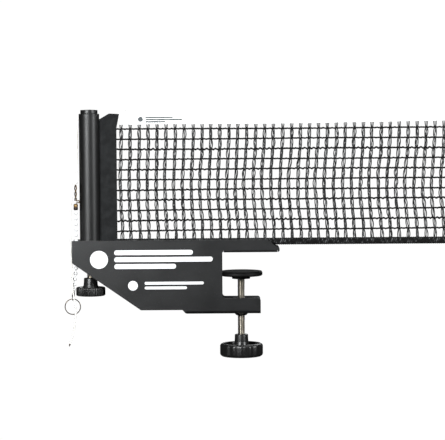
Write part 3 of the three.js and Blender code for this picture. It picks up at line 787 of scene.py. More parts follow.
def makePost():
    slotFoot, notchFoot = postLook["slotFoot"], postLook["notchFoot"]
    slot = math.asin(postLook["slotHalf"] / postRadius)
    notch = math.asin(postLook["notchHalf"] / postRadius)
    edges = (-slot, slot, math.pi - notch, math.pi + notch, 2 * math.pi - slot)
    angles = []
    for start, end, count in zip(edges, edges[1:], (4, 56, 4, 56)):
        angles += [start + (end - start) * i / count for i in range(count)]
    levels = [postLow.z, slotFoot, 60, 100, notchFoot, postHigh.z]
    columns, rows = len(angles), len(levels)

    def kept(column, row):
        ahead = angles[(column + 1) % columns] + (0 if column < columns - 1 else 2 * math.pi)
        middle = (angles[column] + ahead) / 2
        inSlot = abs(math.remainder(middle, 2 * math.pi)) < slot and levels[row] >= slotFoot
        inNotch = abs(middle - math.pi) < notch and levels[row] >= notchFoot
        return 0 <= row < rows - 1 and not inSlot and not inNotch

    points, faces = [], []
    for radius in (postRadius, postRadius - postLook["wall"]):
        for level in levels:
            points += [around((postX, 0), radius, angle, level) for angle in angles]
    inner = rows * columns

    def at(column, row, inside=0):
        return inside * inner + row * columns + column % columns

    for column in range(columns):
        for row in range(rows - 1):
            if not kept(column, row):
                continue
            a, b = at(column, row), at(column + 1, row)
            c, d = at(column + 1, row + 1), at(column, row + 1)
            faces += [(a, b, c, d), (d + inner, c + inner, b + inner, a + inner)]
            sides = (((column - 1) % columns, row, a, d), ((column + 1) % columns, row, c, b))
            ends = ((column, row - 1, b, a), (column, row + 1, d, c))
            for otherColumn, otherRow, p, q in sides + ends:
                if not (0 <= otherRow < rows - 1) or not kept(otherColumn, otherRow):
                    faces.append((p, q, q + inner, p + inner))
    tube = outwards(pieceFrom("postTube", meshFrom("postTube", points, faces), tubePaint))
    place(bevelled(tube, postLook["rimEdge"], 3, 50), "post", "post_coat", "post_tube")


def makePostCap():
    low, high = boxOf("post_cap")
    reach = (high.y - low.y) / 2
    outline = [(0, low.z, 0), (reach - 0.3, low.z, 0.2), (reach - 0.3, postHigh.z + 0.1, 0.1)]
    outline += [(reach, postHigh.z + 0.15, 0.1), (reach, high.z - 0.4, postLook["capEdge"]), (0, high.z, 0)]
    cap = lathe("postCap", rounded(outline, 5, False), 96, (postX, 0), knobPlastic)
    place(cap, "post", "black_plastic", "post_cap")


makePost()
makePostCap()
print("post made")


# Net.

net = {
    "seed": 41,
    "wales": 37,
    "walePitch": 9.588,
    "firstWale": -127.1,
    "rows": 11,
    "rowPitch": 10.79,
    "bottomRow": 23.9,
    "yarnRadius": 0.61,
    "rowRadius": 1.0,
    "hemYarnRadius": 0.52,
    "strandDepths": (0.5, -0.5, -0.15, 0.2),
    "strandSizes": (1.0, 1.0, 0.78, 0.7),
    "topTones": (0.35, 0.25, 0.0, 0.55),
    "lean": (1.4, 3.75),
    "droop": 1.4,
    "hemLift": 1.1,
    "hemHeight": 7.4,
    "ripple": (0.3, 0.25, 0.8, 0.28, 0.5, 0.22, 0.45, 0.6, 0.25, 0.7, 0.35),
}
meshLow, meshHigh = boxOf("net_mesh")
hemLow, hemHigh = boxOf("net_bottom_hem")
tapeLow, tapeHigh = boxOf("net_top_tape")


def tapeRise(x):  # the tape's lower edge climbs a little towards the middle of the table
    return 1.9 * max(0, (x - 45) / 168)


draw = random.Random(net["seed"])


def rowHeight(row, x=60):  # the lower rows hang a little at the sleeve
    low = 1 - row / (net["rows"] - 1)
    return net["bottomRow"] + row * net["rowPitch"] - net["droop"] * low ** 2 * max(0, (45 - x) / 172)


def leanAt(x, z):  # the wales drift outwards halfway down the net and back
    along = min(1, max(0, (x + 127) / 172))
    reach = net["lean"][0] + (net["lean"][1] - net["lean"][0]) * along
    down = min(1, max(0, (meshHigh.z - z) / (meshHigh.z - meshLow.z)))
    return -reach * math.sin(math.pi * down ** 1.15) ** 2.2


def waleLines():  # four yarns: two that make the edges and change sides, and two lighter ones between them
    lines, shades, swells = [], [], []
    cells = net["rows"] + 1
    for wale in range(net["wales"]):
        foot = net["firstWale"] + wale * net["walePitch"] + draw.uniform(-0.25, 0.25)
        heights = [hemHigh.z + net["hemLift"] - 1.2] + [rowHeight(row, foot) for row in range(net["rows"])]
        heights.append(tapeLow.z + 1.8 + tapeRise(foot))
        strands, tones, sizes = ([[] for _ in range(4)] for _ in range(3))
        side = draw.choice((-1, 1))
        sway = draw.uniform(-0.3, 0.3)
        for cell, (low, high) in enumerate(zip(heights, heights[1:])):
            top, bottom = cell == cells - 1, cell == 0
            nextSway = draw.uniform(-0.35, 0.35)
            skew = draw.uniform(-0.5, 0.5)
            wide = draw.uniform(1.15, 1.7)
            inner = (draw.uniform(0.2, 0.75), draw.uniform(0.1, 0.6))
            peak = draw.uniform(0.75, 1.35)
            tone = [draw.choice((0.0, 0.02, 0.06, 0.15)), draw.choice((0.0, 0.03, 0.1, 0.28))]
            tone += [draw.choice((0.15, 0.3, 0.5, 0.7)), draw.choice((0.2, 0.4, 0.6))]
            side = -side if draw.random() < 0.6 else side
            steps = 5 if top else 8
            for step in range(steps):
                t = step / steps
                z = low + (high - low) * t
                swing = math.sin(math.pi * t ** peak)
                middle = foot + leanAt(foot, z) + sway + (nextSway - sway) * t + skew * swing
                reach = 0.85 + (wide - 0.85) * swing
                if top:
                    middle = foot + leanAt(foot, z) + sway * (1 - t)
                    reach = 0.62 + 0.85 * math.sin(math.pi * 0.5 * t) ** 0.7
                if bottom:
                    reach = 0.5 + (wide - 0.5) * math.sin(math.pi * min(1, 0.2 + t * 0.8))
                offsets = [side * reach, -side * reach]
                offsets.append(inner[0] * math.sin(2 * math.pi * t + wale) * (0.3 if top else 1))
                offsets.append(-side * inner[1] * math.cos(math.pi * t) * (0.2 if top else 1))
                if step == 0 and not top:
                    offsets = [part * 0.72 for part in offsets]
                for strand in range(4):
                    depth = net["strandDepths"][strand] * (1 - 0.5 * swing)
                    strands[strand].append(Vector((middle + offsets[strand], depth, z)))
                    tones[strand].append(net["topTones"][strand] if top else tone[strand])
                    sizes[strand].append(net["strandSizes"][strand] * (0.85 if top else 1))
            sway = nextSway
        for strand in range(4):
            strands[strand].append(strands[strand][-1] + Vector((0, 0, 1.2)))
            tones[strand].append(0.5)
            sizes[strand].append(0.7)
        lines += strands
        shades += tones
        swells += sizes
    return linesFrom("netWales", lines, shades, swells)


def rowLines():
    lines, shades, swells = [], [], []
    start, end = meshLow.x - 1.6, meshHigh.x + 0.4
    for row in range(net["rows"]):
        height = net["ripple"][net["rows"] - 1 - row]
        phase, drift = draw.uniform(0, 6), draw.uniform(0, 6)
        line, sizes = [], []
        count = round((end - start) / 0.75)
        jitter = [draw.uniform(-1, 1) for _ in range(count + 1)]
        for i in range(count + 1):
            x = start + (end - start) * i / count
            tooth = math.asin(math.sin(2 * math.pi * x / 4.775 + phase)) * 2 / math.pi
            fine = math.sin(2 * math.pi * x / 2.3 + phase * 2)
            strength = 0.55 + 0.45 * math.sin(x * 0.11 + drift)
            z = rowHeight(row, x) + height * strength * tooth + 0.12 * fine + 0.1 * jitter[i]
            z += 0.2 * math.sin(x * 0.021 + drift)
            line.append(Vector((x, -0.3 + 0.25 * math.sin(2 * math.pi * x / net["walePitch"]), z)))
            sizes.append(0.95 + 0.35 * height * abs(tooth) + 0.06 * jitter[i])
        sizes[0] = sizes[-1] = 0.8
        lines.append(line)
        swells.append(sizes)
        shades.append([0.0] * len(line))
    return linesFrom("netRows", lines, shades, swells)


def hemLines():
    lines, shades, swells = [], [], []
    middle = (hemLow.z + hemHigh.z) / 2 + net["hemLift"]
    reach = net["hemHeight"] / 2
    start, end = hemLow.x - 0.4, hemHigh.x
    count = round((end - start) / 0.6)
    for face in (-1, 1):
        for strand in range(4):
            phase = strand * math.pi / 2 + draw.uniform(-0.2, 0.2)
            line, tones, sizes = [], [], []
            for i in range(count + 1):
                x = start + (end - start) * i / count
                turn = 2 * math.pi * x / 4.4 + phase
                swing = math.asin(math.sin(turn)) * 2 / math.pi
                depth = face * (0.95 + 0.35 * math.cos(turn))
                line.append(Vector((x, depth, middle + (reach - 0.8) * swing)))
                fleck = max(0, math.sin(x * 1.9 + 2 * strand + math.sin(x * 0.37) * 3)) ** 3
                tones.append((0.0, 0.95, 0.05, 0.45)[strand] * fleck)
                sizes.append(1.15)
            lines.append(line)
            shades.append(tones)
            swells.append(sizes)
    for edge in (-1, 1):
        line, sizes = [], []
        for i in range(count + 1):
            x = start + (end - start) * i / count
            bump = abs(math.sin(math.pi * x / 2.2 + edge))
            line.append(Vector((x, 0, middle + edge * (reach - 0.75 + 0.25 * bump))))
            sizes.append(0.95 + 0.4 * bump)
        lines.append(line)
        shades.append([0.0] * len(line))
        swells.append(sizes)
    return linesFrom("netHem", lines, shades, swells)


def hemCore():  # a flat band inside the hem's yarns
    middle = (hemLow.z + hemHigh.z) / 2 + net["hemLift"]
    reach = net["hemHeight"] / 2 - 0.9
    low, high = middle - reach, middle + reach
    outline = [(hemLow.x, low), (hemHigh.x, low), (hemHigh.x, high), (hemLow.x, high)]
    return flatShape("hemCore", [outline], (-0.45, 0.45), yarn)


def makeNet():
    sizes = {"Sides": 6, "Yarn": yarn}
    wales = grown("netWales", waleLines(), yarns, Radius=net["yarnRadius"] * mm, **sizes)
    rows = grown("netRows", rowLines(), yarns, Radius=net["rowRadius"] * mm, **sizes)
    hem = grown("netHem", hemLines(), yarns, Radius=net["hemYarnRadius"] * mm, Sides=5, Yarn=yarn)
    core = hemCore()
    place(wales, "post", "net_yarn", "net_mesh")
    place(rows, "post", "net_yarn")
    place(hem, "post", "net_yarn", "net_bottom_hem")
    place(core, "post", "net_yarn")


makeNet()
print("net made")


# Top tape, sleeve and end binding: folded strips of cloth.

strips = {
    "tapeThickness": 0.5, "tapeFlat": 36.5, "bindingFlat": 12.5, "canvasThickness": 0.6,
    "stitch": 2.3, "stitchGap": 0.7, "bindingStitch": 2.2, "bindingGap": 0.8, "thread": 0.34,
}


def thickened(piece, thickness):
    solid = piece.modifiers.new("thickness", "SOLIDIFY")
    solid.thickness = thickness * mm
    solid.offset = 0
    return smooth(outwards(applied(piece)), 60)


def foldedStrip(name, section, rowsAt, thickness, material, wrinkle=0.0, seed=3):
    # section(row position) gives the points across the strip at that row
    noise = random.Random(seed)
    phases = [noise.uniform(0, 6.28) for _ in range(6)]
    points, faces = [], []
    width = 0
    for row, at in enumerate(rowsAt):
        across = section(at)
        width = len(across)
        for i, (point, normal) in enumerate(across):
            u = i / width
            wave = math.sin(at * 0.05 + phases[0] + 5 * u) + 0.6 * math.sin(at * 0.13 + phases[1] + 9 * u)
            wave += 0.4 * math.sin(at * 0.31 + phases[2] - 7 * u)
            points.append(Vector(point) + Vector(normal) * wrinkle * wave)
        if row:
            for i in range(width - 1):
                a, b = (row - 1) * width + i, row * width + i
                faces.append((a, a + 1, b + 1, b))
    piece = outwards(pieceFrom(name, meshFrom(name, points, faces), material))
    return thickened(piece, thickness)


def makeTape():
    low, high = tapeLow, tapeHigh
    flatHalf, bulge, bulgeZ = 1.15, 1.72, high.z - 2.1

    def section(x):
        path = []
        lift = 0.12 * math.sin(x * 0.03) + 0.06 * math.sin(x * 0.17)
        for i in range(9):
            t = i / 8
            foot = low.z + tapeRise(x)
            z = foot + (bulgeZ - 1.4 - foot) * t
            path.append(((x, -flatHalf - 0.12 * math.sin(math.pi * t), z), (0, -1, 0)))
        for i in range(13):
            angle = math.radians(-160 + 320 * i / 12) + math.pi
            normal = (0, math.sin(angle), -math.cos(angle))
            reach = bulge - (0.15 if i in (0, 12) else 0)
            path.append(((x, reach * normal[1], bulgeZ + lift + reach * normal[2]), normal))
        back = [((x, -p[0][1], p[0][2]), (0, 1, 0)) for p in reversed(path[:9])]
        return path + back

    rowsAt = [low.x + (high.x - low.x) * i / 110 for i in range(111)]
    tape = foldedStrip("topTape", section, rowsAt, strips["tapeThickness"], tapeCloth, 0.07)
    place(tape, "post", "white_tape", "net_top_tape")
    rows = []
    for face in (-1, 1):
        for height, climb in ((low.z + 1.6, 1), (bulgeZ - 2.6, 0)):
            xs = (low.x + 1.5, 45, high.x - 1.5)
            line = [Vector((x, face * 1.5, height + climb * tapeRise(x))) for x in xs]
            sizes = (strips["stitch"], strips["stitchGap"], strips["thread"])
            rows.append(stitchRow("tapeRow", line, *sizes, cordWhite))
    seams = joined("tapeStitches", rows)
    place(seams, "post", "white_tape")
    marks = [discShape(-106.5, 142.2, 2.7, 28)]
    for row, end in enumerate((-72, -62, -80)):
        marks.append(stripeShape(-101.5, end, 143.4 - row * 2.3, 144.9 - row * 2.3, 0.5))
    mark = flatShape("tapeMark", marks, (-1.62, -1.5), darkInk)
    place(mark, "post", "white_tape")


sleeveLook = {
    "reach": 29.2, "foot": 6.4, "insideFoot": 12.2, "peak": 148.7, "step": 8.3, "length": 140,
    "flare": 3, "rows": 60, "seed": 8,
}


def makeSleeve():
    rodLow, rodHigh = boxOf("sleeve_rod")
    rodAt, rodReach = (rodLow.x + rodHigh.x) / 2, (rodHigh.x - rodLow.x) / 2 + 0.45
    edge = postX + sleeveLook["reach"]

    def topAt(x):
        peak, step = sleeveLook["peak"], sleeveLook["step"]
        if x < -154.2:
            return peak - step
        if x < -140.2:
            return peak - step * (-140.2 - x) / 14
        return peak - 0.8 * (x + 140.2) / 10.9

    def bottomAt(x):
        return sleeveLook["insideFoot"] if x < postX + 13.4 else sleeveLook["foot"]

    xs = [edge - (edge - (rodAt + rodReach)) * i / 18 for i in range(19)]
    path = [(x, -0.85 if x > rodAt + rodReach + 1 else -1.0) for x in xs]
    turnCount = 12
    for i in range(1, turnCount):
        angle = math.radians(-35 - 290 * i / turnCount)
        path.append((rodAt + rodReach * math.cos(angle), rodReach * math.sin(angle)))
    path += [(x, -y) for x, y in reversed(path[:19])]
    points, faces = [], []
    rows = sleeveLook["rows"]
    waver = random.Random(sleeveLook["seed"])
    phases = [waver.uniform(0, 6.28) for _ in range(4)]
    for x, y in path:
        for row in range(rows + 1):
            t = row / rows
            z = bottomAt(x) + (topAt(x) - bottomAt(x)) * t
            flare = sleeveLook["flare"] * max(0, (z - 133) / 15) * max(0, (x - (edge - 8)) / 8)
            wave = 0.09 * math.sin(z * 0.09 + phases[0] + x * 0.2)
            wave += 0.05 * math.sin(z * 0.23 + phases[1] - x * 0.3)
            free = max(0, min(1, (x + 150) / 6))
            points.append((x + flare, y * (1 + wave * free * 1.5), z))
    for i in range(len(path) - 1):
        for row in range(rows):
            a, b = i * (rows + 1) + row, (i + 1) * (rows + 1) + row
            faces.append((a, a + 1, b + 1, b))
    sleeve = outwards(pieceFrom("netSleeve", meshFrom("netSleeve", points, faces), sleeveCanvas))
    thickened(sleeve, strips["canvasThickness"])
    place(sleeve, "post", "canvas", "net_sleeve")


def makeBinding():
    low, high = boxOf("net_end_binding")

    def section(z):
        path = [((x, -0.85, z), (0, -1, 0)) for x in (low.x, low.x + 1.8, low.x + 3.6, high.x - 1.2)]
        for i in range(1, 6):
            angle = math.radians(-90 + 180 * i / 6)
            normal = (math.cos(angle), math.sin(angle), 0)
            path.append(((high.x - 1.2 + 0.85 * normal[0], 0.85 * normal[1], z), normal))
        return path + [((p[0][0], -p[0][1], z), (0, 1, 0)) for p in reversed(path[:4])]

    rowsAt = [low.z + (high.z - low.z) * i / 48 for i in range(49)]
    binding = foldedStrip("endBinding", section, rowsAt, strips["canvasThickness"], sleeveCanvas, 0.05, 9)
    place(binding, "post", "canvas", "net_end_binding")
    rows = []
    for face in (-1, 1):
        line = [Vector((low.x + 1.4, face * 1.2, z)) for z in (low.z + 2, high.z - 2)]
        sizes = (strips["bindingStitch"], strips["bindingGap"], strips["thread"])
        rows.append(stitchRow("bindingRow", line, *sizes, sleeveCanvas))
    sewn = joined("bindingStitches", rows)
    place(sewn, "post", "canvas")


makeTape()
makeSleeve()
makeBinding()
print("tape, sleeve and binding made")


# Knobs, screws and pressure disc.

drive = {
    "pitch": 1.25, "threadDepth": 0.65, "sides": 36,
    "lobes": 16, "lobeDepth": 0.8, "clampRim": 14, "clampHub": 7.4,
    "flutes": 36, "fluteDepth": 0.8, "heightRim": 9.2, "heightHub": 7.5,
    "discPocket": 6.7, "discHub": 9.75,
}


def ringFaces(a, b, sides):  # faces between two rings of points, which start at a and b
    ahead = [(side + 1) % sides for side in range(sides)]
    return [(a + side, a + ahead[side], b + ahead[side], b + side) for side in range(sides)]


def threadedRod(name, centre, radius, low, high, material, tip=None):
    depth, pitch, sides = drive["threadDepth"], drive["pitch"], drive["sides"]
    steps = round((high - low) / pitch * 6)
    levels = [low + (high - low) * i / steps for i in range(steps + 1)]
    points, faces = [], []
    for level in levels:
        fade = min(1, (level - low) / 0.8, (high - level) / 0.8)
        for side in range(sides):
            turn = side / sides
            phase = (level / pitch - turn) % 1
            crest = min(1, max(0, (abs(2 * phase - 1) - 0.1) / 0.8))
            reach = radius - depth * (1 - crest) - 0.35 * (1 - max(0, fade))
            points.append(around(centre, reach, 2 * math.pi * turn, level))
    for row in range(len(levels) - 1):
        faces += ringFaces(row * sides, (row + 1) * sides, sides)
    faces.append(tuple(range(sides - 1, -1, -1)))
    last = (len(levels) - 1) * sides
    if tip:
        start = len(points)
        for reach, level in tip:
            turns = [2 * math.pi * side / sides for side in range(sides)]
            points += [around(centre, reach, angle, level) for angle in turns]
        for ring in range(len(tip)):
            before = last if ring == 0 else start + (ring - 1) * sides
            faces += ringFaces(before, start + ring * sides, sides)
        last = start + (len(tip) - 1) * sides
    faces.append(tuple(range(last, last + sides)))
    return smooth(outwards(pieceFrom(name, meshFrom(name, points, faces), material)), 45)


def lobed(reach, count, depth, start):
    def ripple(radius, angle):
        part = max(0, min(1, (radius - start) / (reach - start)))
        return radius - depth * part * part * (1 - math.cos(count * angle)) / 2
    return ripple


def makeHeightDrive():
    low, high = boxOf("height_knob")
    reach = (high.y - low.y) / 2
    rim, hub = low.z + drive["heightRim"], drive["heightHub"]
    outline = [(0, low.z + 2.6, 0), (hub - 1.5, low.z + 2.6, 0.3), (hub - 1, low.z + 0.3, 0.4)]
    outline += [(hub + 2, low.z + 0.1, 0.5)]
    outline += [(reach - 3.4, low.z, 0.5), (reach, low.z, 1.5), (reach, rim, 1.5), (reach - 3.2, rim, 0.6)]
    outline += [(reach - 4.2, rim - 0.9, 0.6), (hub + 1.2, rim - 0.9, 1.2), (hub + 0.1, rim + 2.5, 1)]
    outline += [(hub - 0.4, high.z, 0.8), (4.7, high.z, 0.3), (4.4, high.z - 0.8, 0)]
    outline += [(4.4, high.z - 1.2, 0), (0, high.z - 1.2, 0)]
    ripple = lobed(reach, drive["flutes"], drive["fluteDepth"], reach - 2.2)
    knob = lathe("heightKnob", rounded(outline, 5, False), 288, (postX, 0), knobPlastic, ripple)
    place(knob, "height_drive", "black_plastic", "height_knob")
    screwLow, screwHigh = boxOf("height_screw")
    radius = (screwHigh.y - screwLow.y) / 2
    screw = threadedRod("heightScrew", (postX, 0), radius, screwLow.z, screwHigh.z, screwSteel)
    place(screw, "height_drive", "screw_steel", "height_screw")


def makeClampDrive():
    low, high = boxOf("clamp_knob")
    centre = ((low.x + high.x) / 2, 0)
    reach = (high.y - low.y) / 2
    rim, hub = low.z + drive["clampRim"], drive["clampHub"]
    outline = [(0, low.z + 3.2, 0), (7, low.z + 3.2, 0.5), (8.5, low.z + 0.5, 0.8), (reach - 6, low.z, 1)]
    outline += [(reach, low.z + 0.2, 3), (reach, rim, 3), (reach - 4.2, rim, 1)]
    outline += [(reach - 5.4, rim - 3.2, 1), (hub + 1.2, rim - 3.4, 1.5), (hub, rim + 2, 1)]
    outline += [(hub - 0.3, high.z, 0.8), (4.7, high.z, 0.3)]
    outline += [(4.4, high.z - 0.8, 0), (4.4, high.z - 1.2, 0), (0, high.z - 1.2, 0)]
    ripple = lobed(reach, drive["lobes"], drive["lobeDepth"], reach - 4.5)
    knob = lathe("clampKnob", rounded(outline, 6, False), 256, centre, knobPlastic, ripple)
    place(knob, "clamp_drive", "black_plastic", "clamp_knob")
    screwLow, screwHigh = boxOf("clamp_screw")
    bushTop = boxOf("swivel_bush")[1].z
    radius = (screwHigh.y - screwLow.y) / 2
    tip = [(3, bushTop), (3, screwHigh.z - 0.3), (2.7, screwHigh.z)]
    screw = threadedRod("clampScrew", centre, radius, screwLow.z, bushTop - 0.2, screwSteel, tip)
    place(screw, "clamp_drive", "screw_steel", "clamp_screw")
    return centre


def makeDisc(centre):
    low, high = boxOf("pressure_disc")
    reach = (high.y - low.y) / 2
    pocket, hub = drive["discPocket"], drive["discHub"]
    outline = [(pocket, low.z, 0.2), (hub, low.z, 0.3), (hub, high.z - 4.7, 0.4)]
    outline += [(reach - 1.2, high.z - 3.9, 0.8)]
    outline += [(reach, high.z - 2.9, 0.8), (reach, high.z, 0.4), (0.0, high.z, 0), (0.0, high.z - 0.8, 0)]
    outline += [(pocket, high.z - 0.8, 0)]
    points = rounded(outline[:-3], 5, False)
    points = points[:-1] + rounded(outline[4:7], 5, False)[1:]
    points += [(0.0, high.z - 0.8), (pocket, high.z - 0.8), (pocket, low.z)]
    disc = lathe("pressureDisc", [tuple(p) for p in points], 128, centre, discPlastic)
    place(disc, "disc", "black_plastic", "pressure_disc")
    padLow, padHigh = boxOf("disc_face_pad")
    padReach = (padHigh.y - padLow.y) / 2
    outline = [(0, padLow.z, 0), (padReach, padLow.z, 0.2), (padReach, padHigh.z, 0.3), (0, padHigh.z, 0)]
    pad = lathe("discPad", rounded(outline, 3, False), 128, centre, padRubber)
    place(pad, "disc", "pad_rubber", "disc_face_pad")


makeHeightDrive()
makeDisc(makeClampDrive())
print("knobs, screws and disc made")


# Tension cord, chain and pull ring.

cordLook = {"diameter": 1.5, "sides": 10, "spacing": 0.7, "knot": 4.2, "fibres": 9}
tensionRoute = [
    (-150.8, 0, 144.3), (-157.5, 0, 144.3), (-165.5, 0, 144.3), (-170.9, 0, 144.3), (-173.03, 0, 143.43),
    (-173.9, 0, 141.3), (-173.9, 0, 137.3), (-174.2, -1.4, 124), (-174.6, -3.2, 102), (-175.2, -5.4, 78.6),
]
tailRoute = [
    (-177.6, -6.1, 75.2), (-178.6, -7.2, 71), (-180, -8.2, 62), (-181.2, -9.1, 50), (-181.7, -9.5, 32),
    (-181.7, -9.9, 13), (-181.2, -9.9, -5), (-180.5, -9.9, -20), (-180.2, -9.9, -36), (-179, -9.9, -48),
    (-177.5, -9.9, -56), (-177.2, -9.9, -64), (-178, -9.9, -73), (-179, -9.9, -81), (-180.5, -9.9, -87.5),
    (-182, -9.9, -92.5), (-183.8, -9.9, -97.8),
]


def knotPiece(name, centre, size, radius):
    line = []
    for i in range(72):
        t = 2 * math.pi * i / 72
        a, b = math.sin(t) + 2 * math.sin(2 * t), math.cos(t) - 2 * math.cos(2 * t)
        spot = Vector((a, -1.3 * math.sin(3 * t), b)) * (size / 2 - radius) / 3
        line.append(Vector(centre) + spot)
    return tubeAlong(name, line, radius, 10, cordWhite, closed=True)


def makeCords():
    radius = cordLook["diameter"] / 2
    line = curveThrough(tensionRoute, cordLook["spacing"])
    tension = tubeAlong("tensionCord", line, radius, cordLook["sides"], cordWhite)
    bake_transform(tension)
    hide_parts("tension_cord")
    low, high = boxOf("cord_knot")
    knot = knotPiece("cordKnot", (low + high) / 2, cordLook["knot"], radius * 0.95)
    place(knot, "clamp_frame", "white_cord", "cord_knot")

    tailLine = curveThrough(tailRoute, cordLook["spacing"])
    tail = tubeAlong("cordTail", tailLine, radius, cordLook["sides"], cordWhite)
    place(tail, "clamp_frame", "white_cord", "cord_tail")
    low, high = boxOf("cord_burnt_tip")
    centre = (low + high) / 2
    end = tailLine[-1]
    away = (end - tailLine[-3]).normalized()
    waver = random.Random(17)
    lump = [end - away * 0.6, end, end + away, centre - away * 0.4]
    parts = [tubeAlong("tipLump", lump, radius * 1.12, 10, cordBurnt)]
    for _ in range(cordLook["fibres"]):
        aside = Vector([waver.uniform(-1, 1) for _ in range(3)])
        start = end + away * waver.uniform(0, 0.8) + aside * 0.35
        route = [start, start + away * 0.9 + aside * 0.15, start + away * 1.6 + aside * 0.5]
        parts.append(tubeAlong("tipFibre", route, 0.16, 6, cordBurnt, taper=lambda t: 1 - 0.6 * t))
    tip = joined("cordTip", parts)
    place(tip, "clamp_frame", "burnt_cord", "cord_burnt_tip")

    low, high = boxOf("cord_end_knot")
    endKnot = knotPiece("cordEndKnot", (low + high) / 2, 4.5, radius * 0.95)
    place(endKnot, "post", "white_cord", "cord_end_knot")


chainLook = {
    "ball": 4.0, "pitch": 5.9, "link": 1.1, "lead": 0.55,
    "x": -176.2, "y": -6.0, "topBall": 42.75, "pivotHeight": -13.3,
}


def makeChain():
    low, high = boxOf("upper_chain")
    x, y, topBall = chainLook["x"], chainLook["y"], chainLook["topBall"]
    pitch, thin, turnAt = chainLook["pitch"], chainLook["lead"], chainLook["pivotHeight"]
    sizes = {name.capitalize(): chainLook[name] * mm for name in ("pitch", "ball", "link")}
    line = [Vector((x, y, topBall)), Vector((x, y, topBall - 9 * pitch - 0.01))]
    upper = grown("upperChain", linesFrom("upperChain", [line]), chains, Metal=nickel, **sizes)
    ends = [Vector((x, y, high.z)), Vector((x, y, topBall))]
    lead = tubeAlong("chainLead", ends, thin, 10, nickel)
    ends = [Vector((x, y, -10.35)), Vector((x, y, low.z + 0.1))]
    foot = tubeAlong("chainFoot", ends, thin, 10, nickel)
    whole = joined("upperBallChain", [upper, lead, foot])
    place(whole, "clamp_frame", "chain_nickel", "upper_chain")

    pivot = Vector((x, y, turnAt))
    low = boxOf("lower_chain")[0]
    lean = math.atan2(x - (low.x + 2.0), turnAt - (low.z + 0.5))
    down = Vector((-math.sin(lean), 0, -math.cos(lean)))
    first = pivot + down * pitch / 2
    line = [first, first + down * (4 * pitch + 0.01)]
    lower = grown("lowerChain", linesFrom("lowerChain", [line]), chains, Metal=nickel, **sizes)
    lead = tubeAlong("lowerLead", [pivot + down * 0.15, first], thin, 10, nickel)
    foot = tubeAlong("lowerFoot", [line[1], pivot + down * 28.6], thin, 10, nickel)
    hanging = joined("lowerBallChain", [lower, lead, foot])
    place(hanging, "hanging_chain", "chain_nickel", "lower_chain")
    return pivot, down


hookLook = {"top": 73.0, "foot": 56.05, "turns": 1.25, "strand": 0.62, "bend": 0.6}


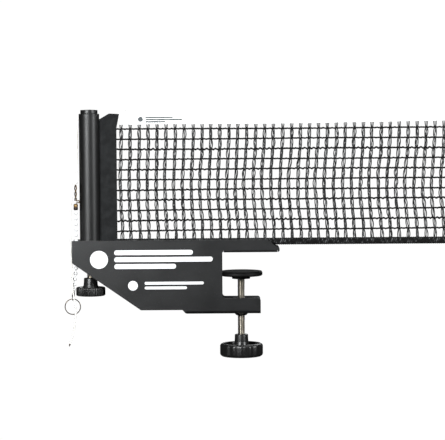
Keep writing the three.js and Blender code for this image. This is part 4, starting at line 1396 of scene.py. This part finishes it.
def makeHook():
    couplingLow, couplingHigh = boxOf("chain_coupling")
    x, y = chainLook["x"], chainLook["y"]
    top, foot = hookLook["top"], hookLook["foot"]
    strands = []
    for start in (0, math.pi):
        line = []
        for step in range(49):
            t = step / 48
            angle = start + t * hookLook["turns"] * 2 * math.pi
            swell = 0.8 + 0.35 * max(0, math.sin(t * math.pi * 4 - 0.6))
            line.append(Vector(around((x, y), swell, angle, foot + (top - foot) * t)))
        strands.append(tubeAlong("hookStrand", line, hookLook["strand"], 10, brass))
    bend = [(0, foot + 1), (1.2, foot - 0.4), (3.4, foot - 0.2), (4.2, foot - 2)]
    bend += [(2.4, foot - 2.3), (0.2, couplingHigh.z + 0.75)]
    line = curveThrough([(x + aside, y, z) for aside, z in bend], 0.35)
    strands.append(tubeAlong("hookBend", line, hookLook["bend"], 10, brass))
    hook = joined("cordHook", strands)
    place(hook, "clamp_frame", "hook_brass", "cord_hook")
    radius = (couplingHigh.y - couplingLow.y) / 2
    lowZ, highZ = couplingLow.z, couplingHigh.z
    middle = (lowZ + highZ) / 2
    groove = radius - 0.25
    outline = [(0, lowZ, 0), (radius - 0.7, lowZ, 0.2), (radius, lowZ + 0.8, 0.4)]
    outline += [(radius, middle - 0.3, 0.1), (groove, middle - 0.1, 0), (groove, middle + 0.1, 0)]
    outline += [(radius, middle + 0.3, 0.1), (radius, highZ - 0.8, 0.4)]
    outline += [(radius - 0.8, highZ, 0.3), (0, highZ, 0)]
    coupling = lathe("chainCoupling", rounded(outline, 4, False), 40, (x, y), goldPlate)
    coupling.data.materials.append(darkPlate)
    for face in coupling.data.polygons:
        face.material_index = 1 if face.center.z / mm < middle else 0
    place(coupling, "clamp_frame", "hook_brass", "chain_coupling")


def circle(centre, radius, across, up, sides):  # points on a circle, along two directions
    angles = [2 * math.pi * i / sides for i in range(sides)]
    return [centre + radius * (across * math.cos(a) + up * math.sin(a)) for a in angles]


ringLook = {"clasp": 1.5, "eye": 1.6, "eyeWire": 0.45, "wire": 0.52}


def makeRing(pivot, down):
    side = Vector((0, 1, 0))
    claspTop, claspEnd = pivot + down * 29.0, pivot + down * 34.8
    line = evenly([claspTop, claspEnd], 0.5)

    def barrel(t):
        return 0.78 + 0.22 * min(1, 6 * t, 6 * (1 - t)) - 0.12 * max(0, 1 - abs(t - 0.5) * 12)

    clasp = tubeAlong("claspBarrel", line, ringLook["clasp"], 20, nickel, taper=barrel)
    eyeLine = circle(pivot + down * 36.2, ringLook["eye"], down, side, 32)
    eye = tubeAlong("claspEye", eyeLine, ringLook["eyeWire"], 10, nickel, closed=True)
    connector = joined("ringConnector", [clasp, eye])
    place(connector, "hanging_chain", "chain_nickel", "ring_connector")
    low, high = boxOf("pull_ring")
    middle = (low + high) / 2
    radius = (high.x - low.x) / 2 - 0.6
    ringLine = circle(middle, radius, Vector((1, 0, 0)), Vector((0, 0, 1)), 96)
    ring = tubeAlong("pullRing", ringLine, ringLook["wire"], 14, ringSteel, closed=True)
    place(ring, "ring", "chain_nickel", "pull_ring")


makeCords()
makeHook()
makeRing(*makeChain())
print("cords and chain made")


# CAD pieces that stay as they are.

def paintKept():
    finishes = {
        "table_seat_plate": plainSteel, "base_bridge": plainSteel, "chain_catch": plainSteel,
        "height_screw_clip": plainSteel, "clamp_screw_clip": plainSteel,
        "height_nut": screwSteel, "height_screw_locknut": screwSteel,
        "post_guide_outer": guidePlastic, "post_guide_inner": guidePlastic, "post_foot_plug": guidePlastic,
        "sleeve_rod": guidePlastic,
        "height_knob_insert": brass, "clamp_knob_insert": brass, "swivel_bush": brass,
    }
    for node, finish in finishes.items():
        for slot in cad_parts[node].material_slots:
            slot.material = finish


paintKept()
print("kept pieces painted")
